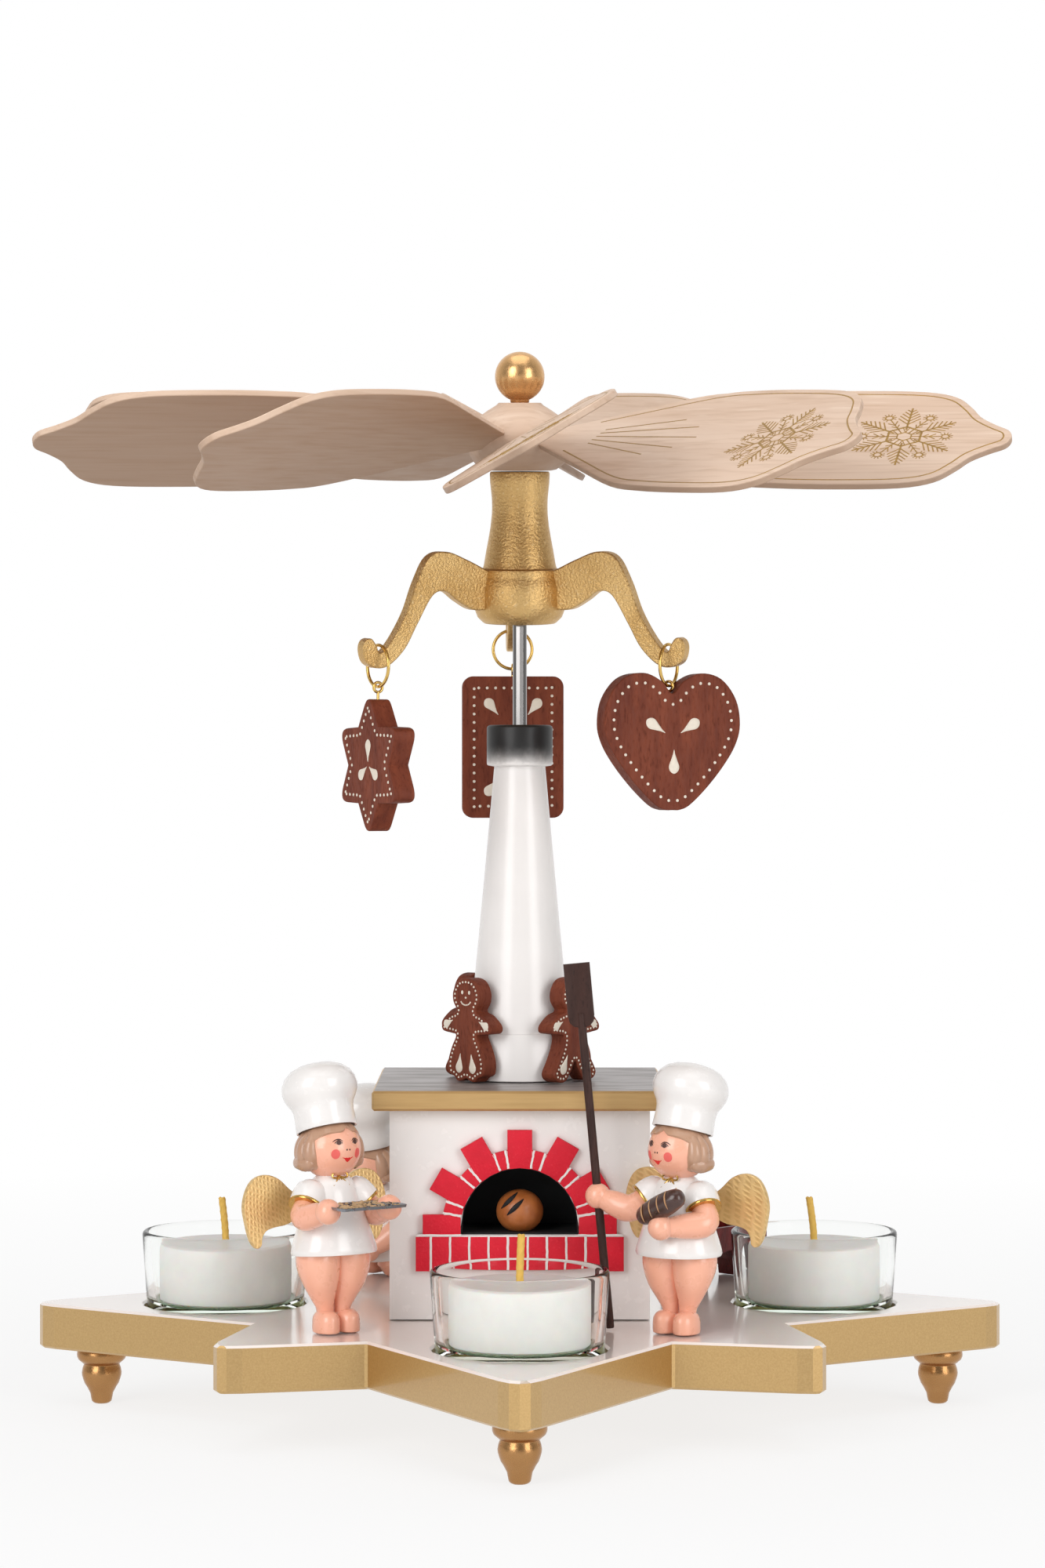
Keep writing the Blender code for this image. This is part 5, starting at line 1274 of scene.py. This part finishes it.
# The hub's section: share of its widest radius, and height in millimetres
HUB = [(0, 0), (0.60, 0), (0.70, 0.3), (0.86, 2.0), (0.95, 4.0), (0.995, 6.2), (1, 7.3), (0.985, 8.8),
       (0.92, 10.9), (0.865, 12.3), (0.855, 12.7), (0.83, 13.3), (0.80, 14.2), (0.60, 16.2),
       (0.45, 17.5), (0.40, 18.2), (0, 18.2)]

# The vase's section from its foot up and back down its bore, in millimetres
VASE = [(5.8, 0), (9.5, 0), (10.0, 0.3), (11.439, 1.7), (12.1155, 3.5), (12.3, 5.5), (12.3, 9.2),
        (12.1155, 10.5), (11.6235, 12.2), (11.3775, 13.0), (11.439, 13.9), (11.2545, 14.6),
        (10.5, 14.7), (10.0, 15.0), (9.8, 15.6), (9.6, 16.6), (9.1, 19.6), (8.4, 23.3), (7.9, 26.3),
        (7.55, 29.6), (7.5, 31.6), (7.55, 33.8), (7.8, 36.2), (8.0, 38.0), (8.1, 40.4), (7.9, 41.0),
        (0, 41.0), (0.1, 37.0), (3.3, 35.0), (3.3, 29.8), (2.9, 29.8), (5.8, 0)]


def spot_at(reach, degrees):
    """The point at a distance and in a direction from the origin."""
    angle = math.radians(degrees)
    return (reach * math.cos(angle), reach * math.sin(angle))


def twigs(pairs, forward, aside):
    """The paths of the twigs on both sides of an arm of the snowflake."""
    return [[(reach, 0), (reach + length * forward, side * length * aside)]
            for reach, length in pairs for side in (1, -1)]


def snowflake(level):
    """A traditional six-armed snowflake with smaller arms between, each ending in a little sun."""
    lines = []

    def strokes(paths, angle, width):
        for path in paths:
            lines.append(moved(line_on(path, THIN * width, level), turn(angle)))

    circle = [(0.0109 + 0.0010 * x, 0.0010 * y) for x, y in ring_of(20)]
    sun = line_on(circle, THIN * 1.1, level, closed=True)
    sun_rays = [[(0.0109 + 0.0011 * x, 0.0011 * y), (0.0109 + 0.0020 * x, 0.0020 * y)]
                for x, y in arc(1, -135, 135, 9)]
    for angle in range(30, 390, 60):
        between = angle + 30
        strokes([[(0.0034, 0), (0.0146, 0)]], angle, 1.35)
        strokes(twigs(LONG_TWIGS, 0.72, 0.70), angle, 0.95)
        strokes([[(0.0018, 0), (0.0097, 0)]], between, 0.9)
        strokes(twigs(SHORT_TWIGS, 0.8, 0.62), between, 0.85)
        lines.append(moved(sun, turn(between)))
        strokes(sun_rays, between, 0.7)
        strokes([[spot_at(0.0050, 0), spot_at(0.0043, 30), spot_at(0.0050, 60)]], angle, 1.5)
        strokes([[spot_at(0.0021, 0), spot_at(0.0021, 60)]], angle, 0.95)
        strokes([[spot_at(0.0021, 0), spot_at(0.0049, slope)] for slope in (12, -12)], angle, 0.7)
    return gathered(lines)


def wing_border(outline):
    """The printed line inside the wing's edge, open towards the hub."""
    inner = shrunk(outline, 0.0021)
    start = min(range(len(inner)), key=lambda i: abs(inner[i].x - 0.017) + (0 if inner[i].y > 0 else 1))
    return [point for point in inner[start:] + inner[:start] if point.x > 0.0168]


def wings():
    """Thin boards with a printed border, a snowflake and a few rays on top."""
    upper = [(x * WING_LENGTH, y * WING_HALF) for x, y in WING]
    lower = [(x, -y) for x, y in reversed(upper)]
    outline = curve_through(upper + lower, closed=True)
    board = plate(outline, -WING_THICK / 2, WING_THICK / 2, 0.00028)
    level = WING_THICK / 2 - 0.00001
    prints = [line_on(wing_border(outline), 0.00045, level), moved(snowflake(level), at(0.0948))]
    for slope, near, far in RAYS:
        ray = line_on([spot_at(near, slope), spot_at(far, slope)], 0.00040, level)
        prints.append(moved(ray, at(0.006)))
    for index, angle in enumerate(WING_ANGLES):
        place = LEAN @ turn(angle) @ at(0.0102, z=0.260454) @ turn(30, "X")
        name = f"wing_{index + 1}"
        thing = piece(f"{name}_board", board, "bare_maple", "spinner", place, 20, name)
        thing.data.materials[0] = WOODS[index].material
        piece(f"{name}_print", gathered(prints), "print_gold", "spinner", place)


def turned_parts():
    """Hub, vase and ball, as round as a lathe leaves them."""
    hub = turned([(0.0142 * share, 0.001 * height) for share, height in HUB], 96)
    piece("hub_fine", hub, "bare_maple", "spinner", LEAN @ at(z=0.2519), replaces="wing_hub")
    vase = turned(sized(VASE, 0.001), 96)
    piece("vase_fine", vase, "gold_paint", "spinner", LEAN @ at(z=0.2106), replaces="spinner_vase")
    seat = [(0, -0.00698), (0.0024, -0.00698), (0.0025, -0.00688)]
    globe = turned(seat + arc(0.0067, -67, 90, 28), 64)
    piece("ball_fine", globe, "ball_gold", "spinner", LEAN @ at(z=0.2771), replaces="top_ball")


def arms():
    """The sawn S-shaped arms, their edges eased, each ending in a hook."""
    outline = curve_through([(ARM_ROOT + x * ARM_REACH, y * ARM_RISE) for x, y in ARM], 6, closed=True)
    outline = [Vector((max(x, ARM_ROOT), y)) for x, y in outline]
    kept = [point for index, point in enumerate(outline) if (point - outline[index - 1]).length > 1e-5]
    board = moved(plate(kept, -ARM_THICK / 2, ARM_THICK / 2, 0.0004), turn(90, "X"))
    for name, angle in ARM_ANGLES.items():
        place = LEAN @ at(z=0.2001) @ turn(angle)
        piece(f"arm_fine_{name}", board, "gold_paint", "spinner", place, 20, f"arm_{name}")


def star_outline():
    """Six round tips with sharp notches between them."""
    points = [Vector(spot_at(0.0117 if index % 2 else 0.0195, 90 + 30 * index)) for index in range(12)]
    result = []
    for index, corner in enumerate(points):
        if index % 2:
            result.append(corner)
            continue
        before, after = points[index - 1] - corner, points[index + 1] - corner
        reach = min(0.003 / math.tan(before.angle(after) / 2), before.length / 2)
        start, end = corner + before.normalized() * reach, corner + after.normalized() * reach
        for step in range(9):
            share = step / 8
            result.append(start.lerp(corner, share).lerp(corner.lerp(end, share), share))
    return result


def heart_outline():
    half = [(0, 0.7), (0.16, 0.88), (0.42, 1), (0.72, 0.92), (0.94, 0.62), (1, 0.25), (0.93, -0.05),
            (0.75, -0.36), (0.5, -0.68), (0.25, -0.93), (0.1, -1), (0, -1)]
    return curve_through(mirrored([(x * 0.0195, y * 0.018135) for x, y in half]), 5, closed=True)


# Drops are rows of the tip's X and Y and the bulb's X and Y, in millimetres
BISCUITS = {
    "plaque": {"arm": "back", "outline": rounded_box(0.0143, 0.0200, 0.003, 8), "top": 0.020,
               "turn": 0, "inset": 0.0033, "spacing": 0.0024,
               "drops": [(x * 4.1, y * 9.0, x * 7.8, y * 13.6) for x in (1, -1) for y in (1, -1)]},
    "star": {"arm": "left", "outline": star_outline(), "top": 0.0186225,
             "turn": -3, "inset": 0.0022, "spacing": 0.0020,
             "drops": [(0, 0.7, 0, 6.9), (0.6, -0.35, 5.4, -3.4), (-0.6, -0.35, -5.4, -3.4)]},
    "heart": {"arm": "right", "outline": heart_outline(), "top": 0.0126945,
              "turn": -42, "inset": 0.0026, "spacing": 0.0025,
              "drops": [(2.1, 2.2, 7.6, 5.7), (-2.1, 2.2, -7.6, 5.7), (0.3, -2.0, 0.3, -8.6)]},
}
BISCUIT_HALF = 0.003
RING_RADIUS = 0.0055


def biscuit_icing(facts):
    """Dots along the edge and a few teardrops, on both faces."""
    level = BISCUIT_HALF - 0.00003
    dots = [dot_on(p.x, p.y, 0.00042, level, 0.0002)
            for p in along_outline(facts["outline"], facts["inset"], facts["spacing"])]
    for tip_x, tip_y, bulb_x, bulb_y in facts["drops"]:
        tip, bulb = Vector((tip_x, tip_y)) / 1000, Vector((bulb_x, bulb_y)) / 1000
        dots.append(drop_on(tip, bulb, 0.0031, level, 0.00026))
    face = gathered(dots)
    return gathered([face, moved(face, turn(180, "Y"))])


def pendants():
    """A wire ring on each hook, and on it a screw eye with its biscuit."""
    ring = tube([(0, RING_RADIUS * c, RING_RADIUS * s) for c, s in ring_of(64)], 0.00045, 12, closed=True)
    eye = tube([(0.0013 * c, 0, 0.0013 * s) for c, s in ring_of(32)], 0.0004, 12, closed=True)
    shank = tube([(0, 0, -0.0011 - 0.0042 * step / 6) for step in range(7)], 0.0004, 12)
    for name, facts in BISCUITS.items():
        angle = ARM_ANGLES[facts["arm"]]
        hook = (LEAN @ turn(angle) @ at(0.04456, z=0.200652 + RING_RADIUS)).translation
        ring_at = at(*hook) @ at(z=-RING_RADIUS) @ turn(angle)
        eye_at = ring_at @ at(z=-0.00565)
        face_at = eye_at @ at(z=-0.002 - facts["top"]) @ turn(facts["turn"]) @ turn(90) @ turn(90, "X")
        board = plate(facts["outline"], -BISCUIT_HALF, BISCUIT_HALF, 0.0003)
        body = f"pendant_{name}"
        piece(f"ring_fine_{name}", ring, "brass", f"hanging_ring_{name}", ring_at, replaces=f"ring_{name}")
        piece(f"eye_fine_{name}", gathered([eye, shank]), "brass", body, eye_at,
              replaces=f"screw_eye_{name}")
        piece(f"biscuit_fine_{name}", board, "brown_stain", body, face_at, 20, f"biscuit_{name}")
        piece(f"icing_{name}", biscuit_icing(facts), "cream_dots", body, face_at)


WOODS = [maple(f"bare_maple_{index + 1}", math.radians(angle)) for index, angle in enumerate(WING_ANGLES)]
wings()
turned_parts()
arms()
pendants()


# Floor, light and camera
def is_seen(nodes, path):
    """1 for the camera, for mirror reflections and through glass; 0 for the light itself."""
    direct = nodes.math("MAXIMUM", path.outputs["Is Camera Ray"], path.outputs["Is Glossy Ray"])
    return nodes.math("MAXIMUM", direct, path.outputs["Is Transmission Ray"])


def stage():
    """A pale floor that fades into the white behind it."""
    paint = Paint("floor", (0.84, 0.84, 0.84), 0.85)
    paint.bump(paint.noise(40, 2), 0.03, 0.001)
    across = paint.node("ShaderNodeVectorMath", operation="LENGTH")
    paint.feed(across.inputs[0], paint.where())
    share = paint.span(across.outputs["Value"], 0.15, 0.6, 0.8, 1.0)
    share = paint.math("MULTIPLY", share, is_seen(paint, paint.node("ShaderNodeLightPath")))
    surface = paint.blend(share, paint.shader, paint.node("ShaderNodeEmission"))
    paint.feed(paint.tree.nodes["Material Output"].inputs["Surface"], surface)
    mesh = bpy.data.meshes.new("floor")
    work = bmesh.new()
    bmesh.ops.create_circle(work, cap_ends=True, segments=96, radius=6)
    work.to_mesh(mesh)
    work.free()
    mesh.materials.append(paint.material)
    floor = bpy.data.objects.new("floor", mesh)
    bpy.context.scene.collection.objects.link(floor)


def world():
    """Soft light, seen as plain white; mirrors see it dimmer where it lies to the front."""
    made = bpy.data.worlds.new("studio")
    bpy.context.scene.world = made
    made.use_nodes = True
    made.node_tree.nodes.clear()
    nodes = Nodes(made.node_tree)
    path = nodes.node("ShaderNodeLightPath")
    parts = nodes.node("ShaderNodeSeparateXYZ")
    nodes.feed(parts.inputs[0], nodes.node("ShaderNodeTexCoord").outputs["Generated"])
    ahead = nodes.span(parts.outputs["Y"], -0.35, 0.75, 0.30, 1.0)
    plain = nodes.math("SUBTRACT", 1, path.outputs["Is Glossy Ray"])
    clear = nodes.math("MAXIMUM", plain, path.outputs["Is Transmission Ray"])
    skies = []
    for strength in (WORLD_LIGHT, nodes.math("MAXIMUM", ahead, clear)):
        sky = nodes.node("ShaderNodeBackground")
        nodes.feed(sky.inputs["Color"], (1, 1, 1, 1))
        nodes.feed(sky.inputs["Strength"], strength)
        skies.append(sky)
    output = nodes.node("ShaderNodeOutputWorld")
    nodes.feed(output.inputs["Surface"], nodes.blend(is_seen(nodes, path), *skies))


def lamp(name, place, aim, size, power):
    light = bpy.data.lights.new(name, "AREA")
    light.shape = "RECTANGLE"
    light.size, light.size_y = size
    light.energy = power
    thing = bpy.data.objects.new(name, light)
    thing.location = place
    thing.rotation_euler = (Vector(aim) - Vector(place)).to_track_quat("-Z", "Y").to_euler()
    bpy.context.scene.collection.objects.link(thing)


WORLD_LIGHT = 0.42
LAMPS = [("left_box", (-1.0, -1.4, 0.8), (0, 0, 0.12), (0.9, 1.3), 15.5),
         ("right_box", (1.2, -1.3, 0.6), (0, 0, 0.12), (0.8, 1.2), 11),
         ("top_box", (0, -0.2, 1.7), (0, 0, 0.1), (1.5, 1.5), 9)]

stage()
world()
for row in LAMPS:
    lamp(*row)

camera = bpy.data.cameras.new("camera")
camera.sensor_width = 36
camera.sensor_fit = "AUTO"
camera.lens = 84.6
camera.shift_x = 0.00175
camera.shift_y = -0.009
viewer = bpy.data.objects.new("camera", camera)
viewer.location = (0, -0.996, 0.171)
viewer.rotation_euler = (math.pi / 2, 0, 0)
bpy.context.scene.collection.objects.link(viewer)
bpy.context.scene.camera = viewer
bpy.context.scene.view_settings.view_transform = "Standard"
